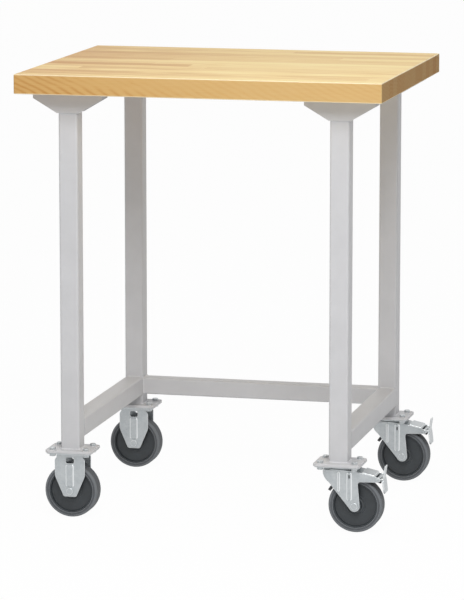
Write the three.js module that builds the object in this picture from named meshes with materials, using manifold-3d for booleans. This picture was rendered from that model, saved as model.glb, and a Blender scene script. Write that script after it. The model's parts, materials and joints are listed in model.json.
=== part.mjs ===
// Mobile assembly table: a glued beech top on a welded frame of square steel tube, which
// rolls on two fixed castors at its left end and two braked swivel castors at its right end.
// Millimetres, +Z up, front towards -Y, origin on the floor under the middle of the top.

import * as THREE from 'three';
import { mergeVertices } from 'three/addons/utils/BufferGeometryUtils.js';
import Module from 'manifold-3d';

const wasm = await Module();
wasm.setup();

// Fits
const RUNNING_GAP = 0.3;
const BOLT_HOLE_CLEARANCE = 0.5;

// Worktop
const TABLE_HEIGHT = 1035;
const TOP_WIDTH = 850;
const TOP_DEPTH = 700;
const TOP_THICKNESS = 45;
const TOP_CORNER_RADIUS = 3;
const TOP_EDGE_CHAMFER = 2;

// Frame tubes
const LEG_SIDE = 45;
const LEG_WALL = 2.5;
const LEG_CORNER_RADIUS = 5;
const LEG_INSET_ENDS = 86;
const LEG_INSET_FRONT = 65;
const LEG_INSET_REAR = 25;
const REAR_RAIL_SIDE = 40;
const REAR_RAIL_WALL = 2;
const REAR_RAIL_CORNER_RADIUS = 4;
const RAIL_ABOVE_FOOT = 22;

// Head brackets, folded from sheet over the top of each leg
const HEAD_SHEET = 2.5;
const HEAD_BEND_RADIUS = 4;
const HEAD_LENGTH = 163;
const HEAD_RIM = 15;
const HEAD_HEIGHT = 48;

// Foot plates, welded under the legs
const FOOT_LENGTH = 110;
const FOOT_WIDTH = 90;
const FOOT_THICKNESS = 6;
const FOOT_CORNER_RADIUS = 10;

// Castors
const CASTOR_HEIGHT = 155;
const CASTOR_HEADROOM = 30;
const CASTOR_PLATE_LENGTH = 105;
const CASTOR_PLATE_WIDTH = 85;
const CASTOR_PLATE_THICKNESS = 3;
const CASTOR_PLATE_CORNER_RADIUS = 8;
const BOLT_SPACING_X = 80;
const BOLT_SPACING_Y = 60;
const BOLT_DIAMETER = 8;
const BOLT_ACROSS_FLATS = 13;
const BOLT_HEAD_HEIGHT = 5.3;
const NUT_HEIGHT = 6.5;

// Wheels
const WHEEL_DIAMETER = CASTOR_HEIGHT - CASTOR_HEADROOM;
const WHEEL_WIDTH = 38;
const TYRE_DEPTH = 11.5;
const TYRE_SHOULDER = 5;
const TYRE_LIP = 1.5;
const RIM_FLANGE = 2;
const WEB_THICKNESS = 22;
const WEB_FLARE = 1.5;
const HUB_DIAMETER = 29;
const WHEEL_FACETS = 28;
const AXLE_HEIGHT = WHEEL_DIAMETER / 2;

// Forks
const FORK_SHEET = 3;
const FORK_GAP = 49;
const AXLE_DIAMETER = 10;
const AXLE_HEAD_DIAMETER = 16;
const AXLE_HEAD_HEIGHT = 2.5;
const RIB_HEIGHT = 2;
const RIB_SINK = 0.5;

// Fixed fork, seen from its side
const FIXED_ARM_TOP_WIDTH = 63;
const FIXED_ARM_WIDTH = 72;
const FIXED_ARM_FOOT_WIDTH = 30;
const FIXED_ARM_NECK = 11;
const FIXED_ARM_SHOULDER = 5;
const FIXED_ARM_TAPER_ABOVE_AXLE = 36;
const FIXED_ARM_BELOW_AXLE = 12.5;
const FIXED_ARM_CORNER_RADIUS = 4;
const FIXED_BEND_RADIUS = 5;
const FIXED_RIB_WIDTH = 22;
const FIXED_RIB_START = 9.5;
const FIXED_RIB_DROP = 32.5;
const FIXED_WINDOW_WIDTH = 20;
const FIXED_WINDOW_HEIGHT = 14;
const FIXED_WINDOW_DROP = 12.5;

// Swivel fork, seen from its side, with the wheel trailing towards +X
const SWIVEL_HEAD_HEIGHT = 7;
const TRAIL = 39;
const FORK_NOSE = 37;
const FORK_NOSE_RADIUS = 14;
const FORK_THROAT = [-21, CASTOR_HEIGHT - 39];
const FORK_THROAT_PULL = [-33, CASTOR_HEIGHT - 30];
const FORK_EYE_RADIUS = 12.5;
const FORK_ARMPIT = [46.3, CASTOR_HEIGHT - 36];
const FORK_ARMPIT_RADIUS = 7;
const FORK_SHOULDER = 40;
const WING_ROOT = [47, CASTOR_HEIGHT - 13];
const WING_SHEET_END = 84;
const WING_LUG_RADIUS = 5.5;
const FORK_SLOT = [27, CASTOR_HEIGHT - 24];
const FORK_SLOT_WIDTH = 3;
const FORK_SLOT_HEIGHT = 9;
const NARROW_RIB = { at: 2.4, width: 7, bottom: AXLE_HEIGHT + 31.5, top: CASTOR_HEIGHT - 16 };
const WIDE_RIB = { at: 27, width: 10, bottom: AXLE_HEIGHT + 11.5, top: CASTOR_HEIGHT - 34 };

// Swivel bearing
const RACE_INNER_DIAMETER = 38;
const RACE_OUTER_DIAMETER = 62;
const RACE_CUP_DEPTH = 4.5;
const RACE_RING_OVERHANG = 2;
const KING_PIN_DIAMETER = 14;
const KING_PIN_HEAD_DIAMETER = 22;
const KING_PIN_HEAD_HEIGHT = 7;

// Brake: the pedal rocks on a pin in the fork's lugs, and its cam bears on a strip over the tread
const PEDAL_PIVOT = [93.5, CASTOR_HEIGHT - 29];
const PEDAL_PIN_DIAMETER = 5;
const PEDAL_PIN_HEAD_DIAMETER = 8;
const PEDAL_PIN_HEAD_HEIGHT = 1.5;
const PEDAL_KNUCKLE_RADIUS = 5;
const PEDAL_SHEET = 3;
const PEDAL_NECK = 9;
const PEDAL_FINGER_TIP = [13, 28];
const PEDAL_TONGUE_TIP = [13, -32];
const PEDAL_FINGER_WIDTH = 22;
const PEDAL_TONGUE_WIDTH = 40;
const CAM_OFFSET = [4.5, -4.5];
const CAM_RADIUS = 3;
const CAM_WIDTH = 20;
const BRAKE_TREAD_GAP = 2.7;
const BRAKE_STRIP_THICKNESS = 2;
const BRAKE_STRIP_WIDTH = 32;
const BRAKE_BLOCK_THICKNESS = 6.3;
const BRAKE_BLOCK_ANGLES = [138, 150];

// Smoothness of round forms
const CORNER_STEPS = 1;
const CURVE_STEPS = 3;
const HOLE_STEPS = 4;
const BEARING_STEPS = 10;
const PIN_FACETS = 12;

// Worked-out places
const TOP_UNDERSIDE = TABLE_HEIGHT - TOP_THICKNESS;
const FOOT_TOP = CASTOR_HEIGHT + FOOT_THICKNESS;
const PLATE_UNDERSIDE = CASTOR_HEIGHT - CASTOR_PLATE_THICKNESS;
const LEG_X = TOP_WIDTH / 2 - LEG_INSET_ENDS - LEG_SIDE / 2;
const FRONT_LEG_Y = -TOP_DEPTH / 2 + LEG_INSET_FRONT + LEG_SIDE / 2;
const REAR_LEG_Y = TOP_DEPTH / 2 - LEG_INSET_REAR - LEG_SIDE / 2;
const FORK_OUTER = FORK_GAP / 2 + FORK_SHEET;
const SWIVEL_FORK_TOP = PLATE_UNDERSIDE - SWIVEL_HEAD_HEIGHT;
const LEG_PLACES = [
  { name: 'front_left', x: -LEG_X, y: FRONT_LEG_Y },
  { name: 'rear_left', x: -LEG_X, y: REAR_LEG_Y },
  { name: 'front_right', x: LEG_X, y: FRONT_LEG_Y },
  { name: 'rear_right', x: LEG_X, y: REAR_LEG_Y },
];

// Finishes
const finish = (color, roughness, metalness) => {
  return new THREE.MeshStandardMaterial({ color, roughness, metalness });
};
const BEECH = finish(0xe0bd84, 0.45, 0);
const GREY_PAINT = finish(0xc9c9cb, 0.5, 0);
const ZINC = finish(0xb4bbc0, 0.35, 0.9);
const BLACK_STEEL = finish(0x1c1c1e, 0.5, 0.4);
const RUBBER = finish(0x5a5c5f, 0.7, 0);
const RIM_PLASTIC = finish(0x3c4043, 0.55, 0);

/** A closed geometry as a solid that can be joined and cut. */
function solidOf(geometry) {
  const bare = geometry.clone();
  bare.deleteAttribute('normal');
  bare.deleteAttribute('uv');
  const merged = mergeVertices(bare);
  const index = merged.index.array;
  const triangles = [];
  for (let i = 0; i < index.length; i += 3) {
    const [a, b, c] = index.slice(i, i + 3);
    if (a !== b && b !== c && c !== a) triangles.push(a, b, c);
  }
  const vertProperties = new Float32Array(merged.attributes.position.array);
  const triVerts = new Uint32Array(triangles);
  return new wasm.Manifold(new wasm.Mesh({ numProp: 3, vertProperties, triVerts }));
}

/** The geometry of a solid. */
function geometryOf(solid) {
  const mesh = solid.getMesh();
  const geometry = new THREE.BufferGeometry();
  geometry.setAttribute('position', new THREE.BufferAttribute(mesh.vertProperties, mesh.numProp));
  geometry.setIndex(new THREE.BufferAttribute(mesh.triVerts, 1));
  geometry.computeVertexNormals();
  return geometry;
}

/** All the given geometries joined, less all the cuts. */
function carve(joined, cuts = []) {
  let solid = solidOf(joined[0]);
  for (const geometry of joined.slice(1)) solid = solid.add(solidOf(geometry));
  for (const geometry of cuts) solid = solid.subtract(solidOf(geometry));
  return geometryOf(solid);
}

/** What two geometries share. */
function shared(first, second) {
  return geometryOf(solidOf(first).intersect(solidOf(second)));
}

/** A plan outline raised from z = bottom to z = top. */
function raise(shape, bottom, top, curveSegments = CORNER_STEPS) {
  const options = { depth: top - bottom, bevelEnabled: false, curveSegments };
  return new THREE.ExtrudeGeometry(shape, options).translate(0, 0, bottom);
}

/** A side outline, drawn in x and z, made solid from y = front to y = rear. */
function acrossY(shape, front, rear, curveSegments = CURVE_STEPS) {
  const options = { depth: rear - front, bevelEnabled: false, curveSegments };
  return new THREE.ExtrudeGeometry(shape, options).rotateX(Math.PI / 2).translate(0, rear, 0);
}

/** An end outline, drawn in y and z, made solid from x = left to x = right. */
function acrossX(shape, left, right, curveSegments = CORNER_STEPS) {
  const options = { depth: right - left, bevelEnabled: false, curveSegments };
  const turn = new THREE.Matrix4().makeBasis(
    new THREE.Vector3(0, 1, 0),
    new THREE.Vector3(0, 0, 1),
    new THREE.Vector3(1, 0, 0),
  );
  return new THREE.ExtrudeGeometry(shape, options).applyMatrix4(turn).translate(left, 0, 0);
}

/** A form turned about the y axis from a profile of [radius, y] points. */
function turned(profile, facets) {
  const points = profile.map(([radius, y]) => new THREE.Vector2(radius, y));
  return new THREE.LatheGeometry(points, facets);
}

/** The same for a wheel: the facets' middles lie on the radius, and one facet is flat on the floor. */
function turnedWheel(profile) {
  const spread = 1 / Math.cos(Math.PI / WHEEL_FACETS);
  const points = profile.map(([radius, y]) => new THREE.Vector2(radius * spread, y));
  return new THREE.LatheGeometry(points, WHEEL_FACETS, Math.PI / WHEEL_FACETS);
}

/** A rectangle with round corners, about the point given by its centre. */
function roundedRectangle(width, height, radius, [cx, cy] = [0, 0]) {
  const [x, y] = [cx - width / 2, cy - height / 2];
  const shape = new THREE.Shape();
  shape.absarc(x + radius, y + radius, radius, Math.PI, Math.PI * 1.5);
  shape.absarc(x + width - radius, y + radius, radius, Math.PI * 1.5, Math.PI * 2);
  shape.absarc(x + width - radius, y + height - radius, radius, 0, Math.PI / 2);
  shape.absarc(x + radius, y + height - radius, radius, Math.PI / 2, Math.PI);
  shape.closePath();
  return shape;
}

/** A full circle. */
function circle(radius, [cx, cy] = [0, 0]) {
  const shape = new THREE.Shape();
  shape.absarc(cx, cy, radius, 0, Math.PI * 2);
  return shape;
}

/** A round hole for a pin or bolt, whose facets stay the clearance away from it. */
function holeFor(diameter, clearance, place) {
  return circle((diameter / 2 + clearance) / Math.cos(Math.PI / (2 * HOLE_STEPS)), place);
}

/** A polygon through the given points. */
function polygon(points) {
  return new THREE.Shape(points.map(([x, y]) => new THREE.Vector2(x, y)));
}

/** A square tube's section. */
function tubeSection(side, wall, radius) {
  const section = roundedRectangle(side, side, radius);
  section.holes.push(roundedRectangle(side - 2 * wall, side - 2 * wall, radius - wall));
  return section;
}

/** The four bolt places about a castor's centre. */
function boltPlaces() {
  const [x, y] = [BOLT_SPACING_X / 2, BOLT_SPACING_Y / 2];
  return [[-x, -y], [x, -y], [-x, y], [x, y]];
}

/** A plate with round corners and a bolt hole near each. */
function boltedPlate(length, width, radius) {
  const plate = roundedRectangle(length, width, radius);
  for (const place of boltPlaces()) plate.holes.push(holeFor(BOLT_DIAMETER, BOLT_HOLE_CLEARANCE, place));
  return plate;
}

/** The tangent point on a circle of a line from a point, on its left or right as seen from there. */
function tangentPoint([px, py], [cx, cy], radius, side) {
  const distance = Math.hypot(cx - px, cy - py);
  const back = Math.atan2(py - cy, px - cx);
  const angle = back + side * Math.acos(radius / distance);
  return { angle, point: [cx + radius * Math.cos(angle), cy + radius * Math.sin(angle)] };
}

/** A point some way along the line from one point to another. */
function along([x0, y0], [x1, y1], way) {
  const share = way / Math.hypot(x1 - x0, y1 - y0);
  return [x0 + (x1 - x0) * share, y0 + (y1 - y0) * share];
}

/** A stiffening rib with sloped sides, standing out from both arms of a fork. */
function ribPair(width, bottom, top, x) {
  const [flat, height] = [width - 2 * RIB_HEIGHT, top - bottom - 2 * RIB_HEIGHT];
  const shape = roundedRectangle(flat, height, flat / 2, [x, (top + bottom) / 2]);
  const options = {
    depth: RIB_SINK,
    bevelThickness: RIB_HEIGHT,
    bevelSize: RIB_HEIGHT,
    bevelSegments: 1,
    curveSegments: CORNER_STEPS,
  };
  const rib = new THREE.ExtrudeGeometry(shape, options).rotateX(Math.PI / 2);
  const middle = -RIB_SINK / 2;
  const reach = FORK_OUTER - RIB_SINK;
  return [-1, 1].map((side) => rib.clone().translate(0, side * reach - middle, 0));
}

/** A named piece in its finish. */
function piece(name, geometry, material) {
  const mesh = new THREE.Mesh(geometry, material);
  mesh.name = name;
  return mesh;
}

/** The glued beech panel, its edges broken all round. */
function worktop() {
  const chamfer = TOP_EDGE_CHAMFER;
  const outline = roundedRectangle(TOP_WIDTH - 2 * chamfer, TOP_DEPTH - 2 * chamfer, TOP_CORNER_RADIUS);
  const options = {
    depth: TOP_THICKNESS - 2 * chamfer,
    bevelThickness: chamfer,
    bevelSize: chamfer,
    bevelSegments: 1,
    curveSegments: CORNER_STEPS,
  };
  return new THREE.ExtrudeGeometry(outline, options).translate(0, 0, TOP_UNDERSIDE + chamfer);
}

/** A leg, from its foot plate up to the web of its head bracket. */
function leg() {
  return raise(tubeSection(LEG_SIDE, LEG_WALL, LEG_CORNER_RADIUS), FOOT_TOP, TOP_UNDERSIDE - HEAD_SHEET);
}

/** A channel over the leg's end: a web under the worktop and two cheeks that taper down to the leg. */
function headBracket() {
  const inner = LEG_SIDE / 2 + RUNNING_GAP;
  const outer = inner + HEAD_SHEET;
  const bottom = TOP_UNDERSIDE - HEAD_HEIGHT;
  const web = TOP_UNDERSIDE - HEAD_SHEET;
  const channel = new THREE.Shape();
  channel.moveTo(-outer, bottom);
  channel.lineTo(-inner, bottom);
  channel.lineTo(-inner, web);
  channel.lineTo(inner, web);
  channel.lineTo(inner, bottom);
  channel.lineTo(outer, bottom);
  const bend = [outer - HEAD_BEND_RADIUS, TOP_UNDERSIDE - HEAD_BEND_RADIUS];
  channel.absarc(bend[0], bend[1], HEAD_BEND_RADIUS, 0, Math.PI / 2);
  channel.absarc(-bend[0], bend[1], HEAD_BEND_RADIUS, Math.PI / 2, Math.PI);
  channel.closePath();
  const half = HEAD_LENGTH / 2;
  const cheek = polygon([
    [-outer, bottom],
    [outer, bottom],
    [half, TOP_UNDERSIDE - HEAD_RIM],
    [half, TOP_UNDERSIDE],
    [-half, TOP_UNDERSIDE],
    [-half, TOP_UNDERSIDE - HEAD_RIM],
  ]);
  return shared(acrossX(channel, -half, half), acrossY(cheek, -outer, outer));
}

/** The plate that a castor is bolted to. */
function footPlate() {
  return raise(boltedPlate(FOOT_LENGTH, FOOT_WIDTH, FOOT_CORNER_RADIUS), CASTOR_HEIGHT, FOOT_TOP, HOLE_STEPS);
}

/** A hexagon about a vertical line, from z = bottom to z = top. */
function hexagon(acrossFlats, bottom, top) {
  const shape = new THREE.Shape();
  const corner = acrossFlats / Math.sqrt(3);
  for (let i = 0; i < 6; i += 1) {
    const angle = Math.PI / 6 + (i * Math.PI) / 3;
    const [x, y] = [corner * Math.cos(angle), corner * Math.sin(angle)];
    if (i === 0) shape.moveTo(x, y);
    else shape.lineTo(x, y);
  }
  shape.closePath();
  return raise(shape, bottom, top);
}

/** A hexagon bolt down through both plates, with its nut run on below. */
function castorBolt() {
  const nutBottom = PLATE_UNDERSIDE - NUT_HEIGHT;
  return carve([
    hexagon(BOLT_ACROSS_FLATS, FOOT_TOP, FOOT_TOP + BOLT_HEAD_HEIGHT),
    raise(circle(BOLT_DIAMETER / 2), nutBottom + RUNNING_GAP, FOOT_TOP + RUNNING_GAP, HOLE_STEPS),
    hexagon(BOLT_ACROSS_FLATS, nutBottom, PLATE_UNDERSIDE),
  ]);
}

/** The soft tread: a ring with round shoulders. */
function tyre() {
  const outer = WHEEL_DIAMETER / 2;
  const inner = outer - TYRE_DEPTH;
  const half = WHEEL_WIDTH / 2;
  const round = TYRE_SHOULDER * (1 - Math.SQRT1_2);
  const side = [
    [outer, half - TYRE_SHOULDER],
    [outer - round, half - round],
    [outer - TYRE_SHOULDER, half],
    [inner, half - TYRE_LIP],
  ];
  const lower = side.map(([radius, y]) => [radius, -y]).reverse();
  return turnedWheel([...lower, ...side, lower[0]]);
}

/** The moulded wheel centre: a hub, a recessed web and the bed of the tyre. */
function rim() {
  const bed = WHEEL_DIAMETER / 2 - TYRE_DEPTH - RUNNING_GAP;
  const bedHalf = WHEEL_WIDTH / 2 - TYRE_LIP;
  const hub = HUB_DIAMETER / 2;
  const hubHalf = FORK_GAP / 2 - RUNNING_GAP;
  const web = WEB_THICKNESS / 2;
  const bore = AXLE_DIAMETER / 2 + RUNNING_GAP;
  const upper = [
    [bed, bedHalf],
    [bed - RIM_FLANGE, bedHalf],
    [bed - RIM_FLANGE - WEB_FLARE, web],
    [hub + WEB_FLARE, web + WEB_FLARE],
    [hub, hubHalf],
    [bore, hubHalf],
  ];
  const lower = upper.map(([radius, y]) => [radius, -y]).reverse();
  return turnedWheel([...lower, ...upper, lower[0]]);
}

/** A pin across a fork with a low head outside each arm. */
function crossPin(diameter, headDiameter, headHeight) {
  const seat = FORK_OUTER + RUNNING_GAP;
  const upper = [
    [diameter / 2, seat],
    [headDiameter / 2, seat],
    [headDiameter / 2, seat + headHeight / 2],
    [headDiameter / 2 - headHeight / 2, seat + headHeight],
    [0, seat + headHeight],
  ];
  const lower = upper.map(([radius, y]) => [radius, -y]).reverse();
  return turned([...lower, ...upper], PIN_FACETS);
}

/** The fixed castor's fork: a bolted plate with two pressed arms, ribbed and pierced. */
function fixedFork() {
  const top = CASTOR_HEIGHT - CASTOR_PLATE_THICKNESS / 2;
  const neck = top - FIXED_ARM_NECK;
  const taper = AXLE_HEIGHT + FIXED_ARM_TAPER_ABOVE_AXLE;
  const foot = AXLE_HEIGHT - FIXED_ARM_BELOW_AXLE;
  const [topHalf, half, footHalf] = [FIXED_ARM_TOP_WIDTH / 2, FIXED_ARM_WIDTH / 2, FIXED_ARM_FOOT_WIDTH / 2];
  const arm = new THREE.Shape();
  arm.moveTo(-topHalf, top);
  arm.lineTo(-topHalf, neck);
  arm.lineTo(-half, neck - FIXED_ARM_SHOULDER);
  arm.lineTo(-half, taper);
  const corner = along([-footHalf, foot], [-half, taper], FIXED_ARM_CORNER_RADIUS);
  arm.lineTo(corner[0], corner[1]);
  arm.quadraticCurveTo(-footHalf, foot, -footHalf + FIXED_ARM_CORNER_RADIUS, foot);
  arm.lineTo(footHalf - FIXED_ARM_CORNER_RADIUS, foot);
  arm.quadraticCurveTo(footHalf, foot, -corner[0], corner[1]);
  arm.lineTo(half, taper);
  arm.lineTo(half, neck - FIXED_ARM_SHOULDER);
  arm.lineTo(topHalf, neck);
  arm.lineTo(topHalf, top);
  arm.closePath();

  const inner = FORK_GAP / 2;
  const under = PLATE_UNDERSIDE - FORK_SHEET;
  const channel = new THREE.Shape();
  channel.moveTo(-FORK_OUTER, foot);
  channel.lineTo(-inner, foot);
  channel.lineTo(-inner, under);
  channel.lineTo(inner, under);
  channel.lineTo(inner, foot);
  channel.lineTo(FORK_OUTER, foot);
  const bend = [FORK_OUTER - FIXED_BEND_RADIUS, top - FIXED_BEND_RADIUS];
  channel.absarc(bend[0], bend[1], FIXED_BEND_RADIUS, 0, Math.PI / 2);
  channel.absarc(-bend[0], bend[1], FIXED_BEND_RADIUS, Math.PI / 2, Math.PI);
  channel.closePath();
  const arms = shared(acrossX(channel, -half, half), acrossY(arm, -FORK_OUTER, FORK_OUTER));

  const plate = raise(
    boltedPlate(CASTOR_PLATE_LENGTH, CASTOR_PLATE_WIDTH, CASTOR_PLATE_CORNER_RADIUS),
    PLATE_UNDERSIDE,
    CASTOR_HEIGHT,
    HOLE_STEPS,
  );
  const ribTop = CASTOR_HEIGHT - FIXED_RIB_DROP;
  const ribs = ribPair(FIXED_RIB_WIDTH, AXLE_HEIGHT + FIXED_RIB_START, ribTop, 0);
  const windowPlace = [0, CASTOR_HEIGHT - FIXED_WINDOW_DROP - FIXED_WINDOW_HEIGHT / 2];
  const windowShape = roundedRectangle(
    FIXED_WINDOW_WIDTH,
    FIXED_WINDOW_HEIGHT,
    FIXED_ARM_CORNER_RADIUS,
    windowPlace,
  );
  const reach = FORK_OUTER + RIB_HEIGHT + RUNNING_GAP;
  return carve([plate, arms, ...ribs], [acrossY(windowShape, -reach, reach), axleHole(0, reach)]);
}

/** The hole that an axle passes through, right across a fork. */
function axleHole(x, reach) {
  return acrossY(holeFor(AXLE_DIAMETER, RUNNING_GAP, [x, AXLE_HEIGHT]), -reach, reach, HOLE_STEPS);
}

/** The swivel castor's bolted plate with the ball cup pressed down in its middle. */
function swivelPlate() {
  const shape = boltedPlate(CASTOR_PLATE_LENGTH, CASTOR_PLATE_WIDTH, CASTOR_PLATE_CORNER_RADIUS);
  shape.holes.push(holeFor(KING_PIN_DIAMETER, RUNNING_GAP));
  const plate = raise(shape, PLATE_UNDERSIDE, CASTOR_HEIGHT, HOLE_STEPS);
  const cup = circle(RACE_OUTER_DIAMETER / 2);
  cup.holes.push(circle(RACE_INNER_DIAMETER / 2));
  const cupTop = PLATE_UNDERSIDE + CASTOR_PLATE_THICKNESS / 2;
  return carve([plate, raise(cup, PLATE_UNDERSIDE - RACE_CUP_DEPTH, cupTop, BEARING_STEPS)]);
}

/** The ball race between the cup and the fork's crown. */
function ballRace() {
  const ring = circle(RACE_OUTER_DIAMETER / 2 + RACE_RING_OVERHANG);
  ring.holes.push(circle(RACE_INNER_DIAMETER / 2));
  const bottom = SWIVEL_FORK_TOP + RUNNING_GAP;
  return raise(ring, bottom, PLATE_UNDERSIDE - RACE_CUP_DEPTH - RUNNING_GAP, BEARING_STEPS);
}

/** The rivet that holds the fork to the plate and that the fork turns on. */
function kingPin() {
  const headTop = SWIVEL_FORK_TOP - FORK_SHEET - RUNNING_GAP;
  const [shank, head] = [KING_PIN_DIAMETER / 2, KING_PIN_HEAD_DIAMETER / 2];
  const profile = [
    [0, headTop - KING_PIN_HEAD_HEIGHT],
    [head / 2, headTop - KING_PIN_HEAD_HEIGHT],
    [head, headTop - KING_PIN_HEAD_HEIGHT / 2],
    [head, headTop],
    [shank, headTop],
    [shank, CASTOR_HEIGHT - RUNNING_GAP],
    [0, CASTOR_HEIGHT - RUNNING_GAP],
  ];
  return turned(profile, PIN_FACETS).rotateX(Math.PI / 2);
}

/** The swivel fork's side outline: nose, slanted leading edge, axle eye, trailing arm and brake lug. */
function swivelForkOutline() {
  const eye = [TRAIL, AXLE_HEIGHT];
  const lead = tangentPoint(FORK_THROAT, eye, FORK_EYE_RADIUS, 1);
  const rear = tangentPoint(FORK_ARMPIT, eye, FORK_EYE_RADIUS, -1);
  const under = tangentPoint(FORK_ARMPIT, PEDAL_PIVOT, WING_LUG_RADIUS, 1);
  const over = tangentPoint(WING_ROOT, PEDAL_PIVOT, WING_LUG_RADIUS, -1);
  const armpitIn = along(FORK_ARMPIT, rear.point, FORK_ARMPIT_RADIUS);
  const armpitOut = along(FORK_ARMPIT, under.point, FORK_ARMPIT_RADIUS);
  const shape = new THREE.Shape();
  shape.moveTo(-FORK_NOSE, SWIVEL_FORK_TOP);
  shape.quadraticCurveTo(...FORK_THROAT_PULL, ...FORK_THROAT);
  shape.absarc(...eye, FORK_EYE_RADIUS, lead.angle, rear.angle);
  shape.lineTo(...armpitIn);
  shape.quadraticCurveTo(...FORK_ARMPIT, ...armpitOut);
  shape.absarc(...PEDAL_PIVOT, WING_LUG_RADIUS, under.angle, over.angle);
  shape.lineTo(...WING_ROOT);
  shape.lineTo(FORK_SHOULDER, SWIVEL_FORK_TOP);
  shape.closePath();
  return shape;
}

/** The space inside the fork: below its crown and the sheet over its trailing arm. */
function swivelForkInside() {
  const over = tangentPoint(WING_ROOT, PEDAL_PIVOT, WING_LUG_RADIUS, -1).point;
  const crown = SWIVEL_FORK_TOP - FORK_SHEET;
  const sheetEnd = along(WING_ROOT, over, WING_SHEET_END - WING_ROOT[0]);
  const beyond = PEDAL_PIVOT[0] + 2 * WING_LUG_RADIUS;
  return polygon([
    [-FORK_NOSE - FORK_SHEET, 0],
    [beyond, 0],
    [beyond, CASTOR_HEIGHT],
    [sheetEnd[0], CASTOR_HEIGHT],
    [sheetEnd[0], sheetEnd[1] - FORK_SHEET],
    [WING_ROOT[0], WING_ROOT[1] - FORK_SHEET],
    [FORK_SHOULDER, crown],
    [-FORK_NOSE - FORK_SHEET, crown],
  ]);
}

/** The fork's plan: two parallel arms that run into a round nose at the leading end. */
function swivelForkPlan(inset) {
  const nose = -FORK_NOSE + inset;
  const half = FORK_OUTER - inset;
  const end = PEDAL_PIVOT[0] + 3 * WING_LUG_RADIUS;
  const radius = FORK_NOSE_RADIUS - inset;
  const shape = new THREE.Shape();
  shape.moveTo(end, -half);
  shape.lineTo(end, half);
  shape.absarc(nose + radius, half - radius, radius, Math.PI / 2, Math.PI);
  shape.absarc(nose + radius, -half + radius, radius, Math.PI, Math.PI * 1.5);
  shape.closePath();
  return shape;
}

/** The swivel castor's fork: one pressing with a crown, two ribbed arms and lugs for the brake. */
function swivelFork() {
  const reach = FORK_OUTER + RIB_HEIGHT + RUNNING_GAP;
  const outer = shared(
    acrossY(swivelForkOutline(), -FORK_OUTER, FORK_OUTER),
    raise(swivelForkPlan(0), 0, CASTOR_HEIGHT, CURVE_STEPS),
  );
  const inner = shared(
    acrossY(swivelForkInside(), -FORK_GAP / 2, FORK_GAP / 2),
    raise(swivelForkPlan(FORK_SHEET), 0, CASTOR_HEIGHT, CURVE_STEPS),
  );
  const ribs = [NARROW_RIB, WIDE_RIB].flatMap((rib) => ribPair(rib.width, rib.bottom, rib.top, rib.at));
  const slot = roundedRectangle(FORK_SLOT_WIDTH, FORK_SLOT_HEIGHT, FORK_SLOT_WIDTH / 3, FORK_SLOT);
  const pinHole = holeFor(PEDAL_PIN_DIAMETER, RUNNING_GAP, PEDAL_PIVOT);
  const crownHole = holeFor(KING_PIN_DIAMETER, RUNNING_GAP);
  return carve([outer, ...ribs], [
    inner,
    acrossY(slot, -reach, reach),
    acrossY(pinHole, -reach, reach, HOLE_STEPS),
    axleHole(TRAIL, reach),
    raise(crownHole, SWIVEL_FORK_TOP - 2 * FORK_SHEET, CASTOR_HEIGHT, HOLE_STEPS),
  ]);
}

/** A strip of sheet along a line from one point to another, drawn in x and z, with a round far end. */
function strap(from, to, thickness) {
  const [dx, dz] = [to[0] - from[0], to[1] - from[1]];
  const angle = Math.atan2(dz, dx);
  const half = thickness / 2;
  const [nx, nz] = [-Math.sin(angle) * half, Math.cos(angle) * half];
  const shape = new THREE.Shape();
  shape.moveTo(from[0] + nx, from[1] + nz);
  shape.lineTo(from[0] - nx, from[1] - nz);
  shape.absarc(to[0], to[1], half, angle - Math.PI / 2, angle + Math.PI / 2);
  shape.closePath();
  return shape;
}

/** The rocker pedal: a knuckle on its pin, a finger above, a wide tongue below and a cam inside. */
function brakePedal() {
  const at = ([x, z]) => [PEDAL_PIVOT[0] + x, PEDAL_PIVOT[1] + z];
  const neck = at([PEDAL_NECK, 0]);
  const knuckleHalf = FORK_GAP / 2 - RUNNING_GAP;
  const bore = holeFor(PEDAL_PIN_DIAMETER, RUNNING_GAP, PEDAL_PIVOT);
  const across = (shape, width) => acrossY(shape, -width / 2, width / 2, CORNER_STEPS);
  return carve([
    acrossY(circle(PEDAL_KNUCKLE_RADIUS, PEDAL_PIVOT), -knuckleHalf, knuckleHalf, HOLE_STEPS),
    across(strap(PEDAL_PIVOT, neck, PEDAL_SHEET), PEDAL_TONGUE_WIDTH),
    across(strap(neck, at(PEDAL_FINGER_TIP), PEDAL_SHEET), PEDAL_FINGER_WIDTH),
    across(strap(neck, at(PEDAL_TONGUE_TIP), PEDAL_SHEET), PEDAL_TONGUE_WIDTH),
    acrossY(circle(CAM_RADIUS, at(CAM_OFFSET)), -CAM_WIDTH / 2, CAM_WIDTH / 2, CURVE_STEPS),
  ], [acrossY(bore, -FORK_OUTER, FORK_OUTER, HOLE_STEPS)]);
}

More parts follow.
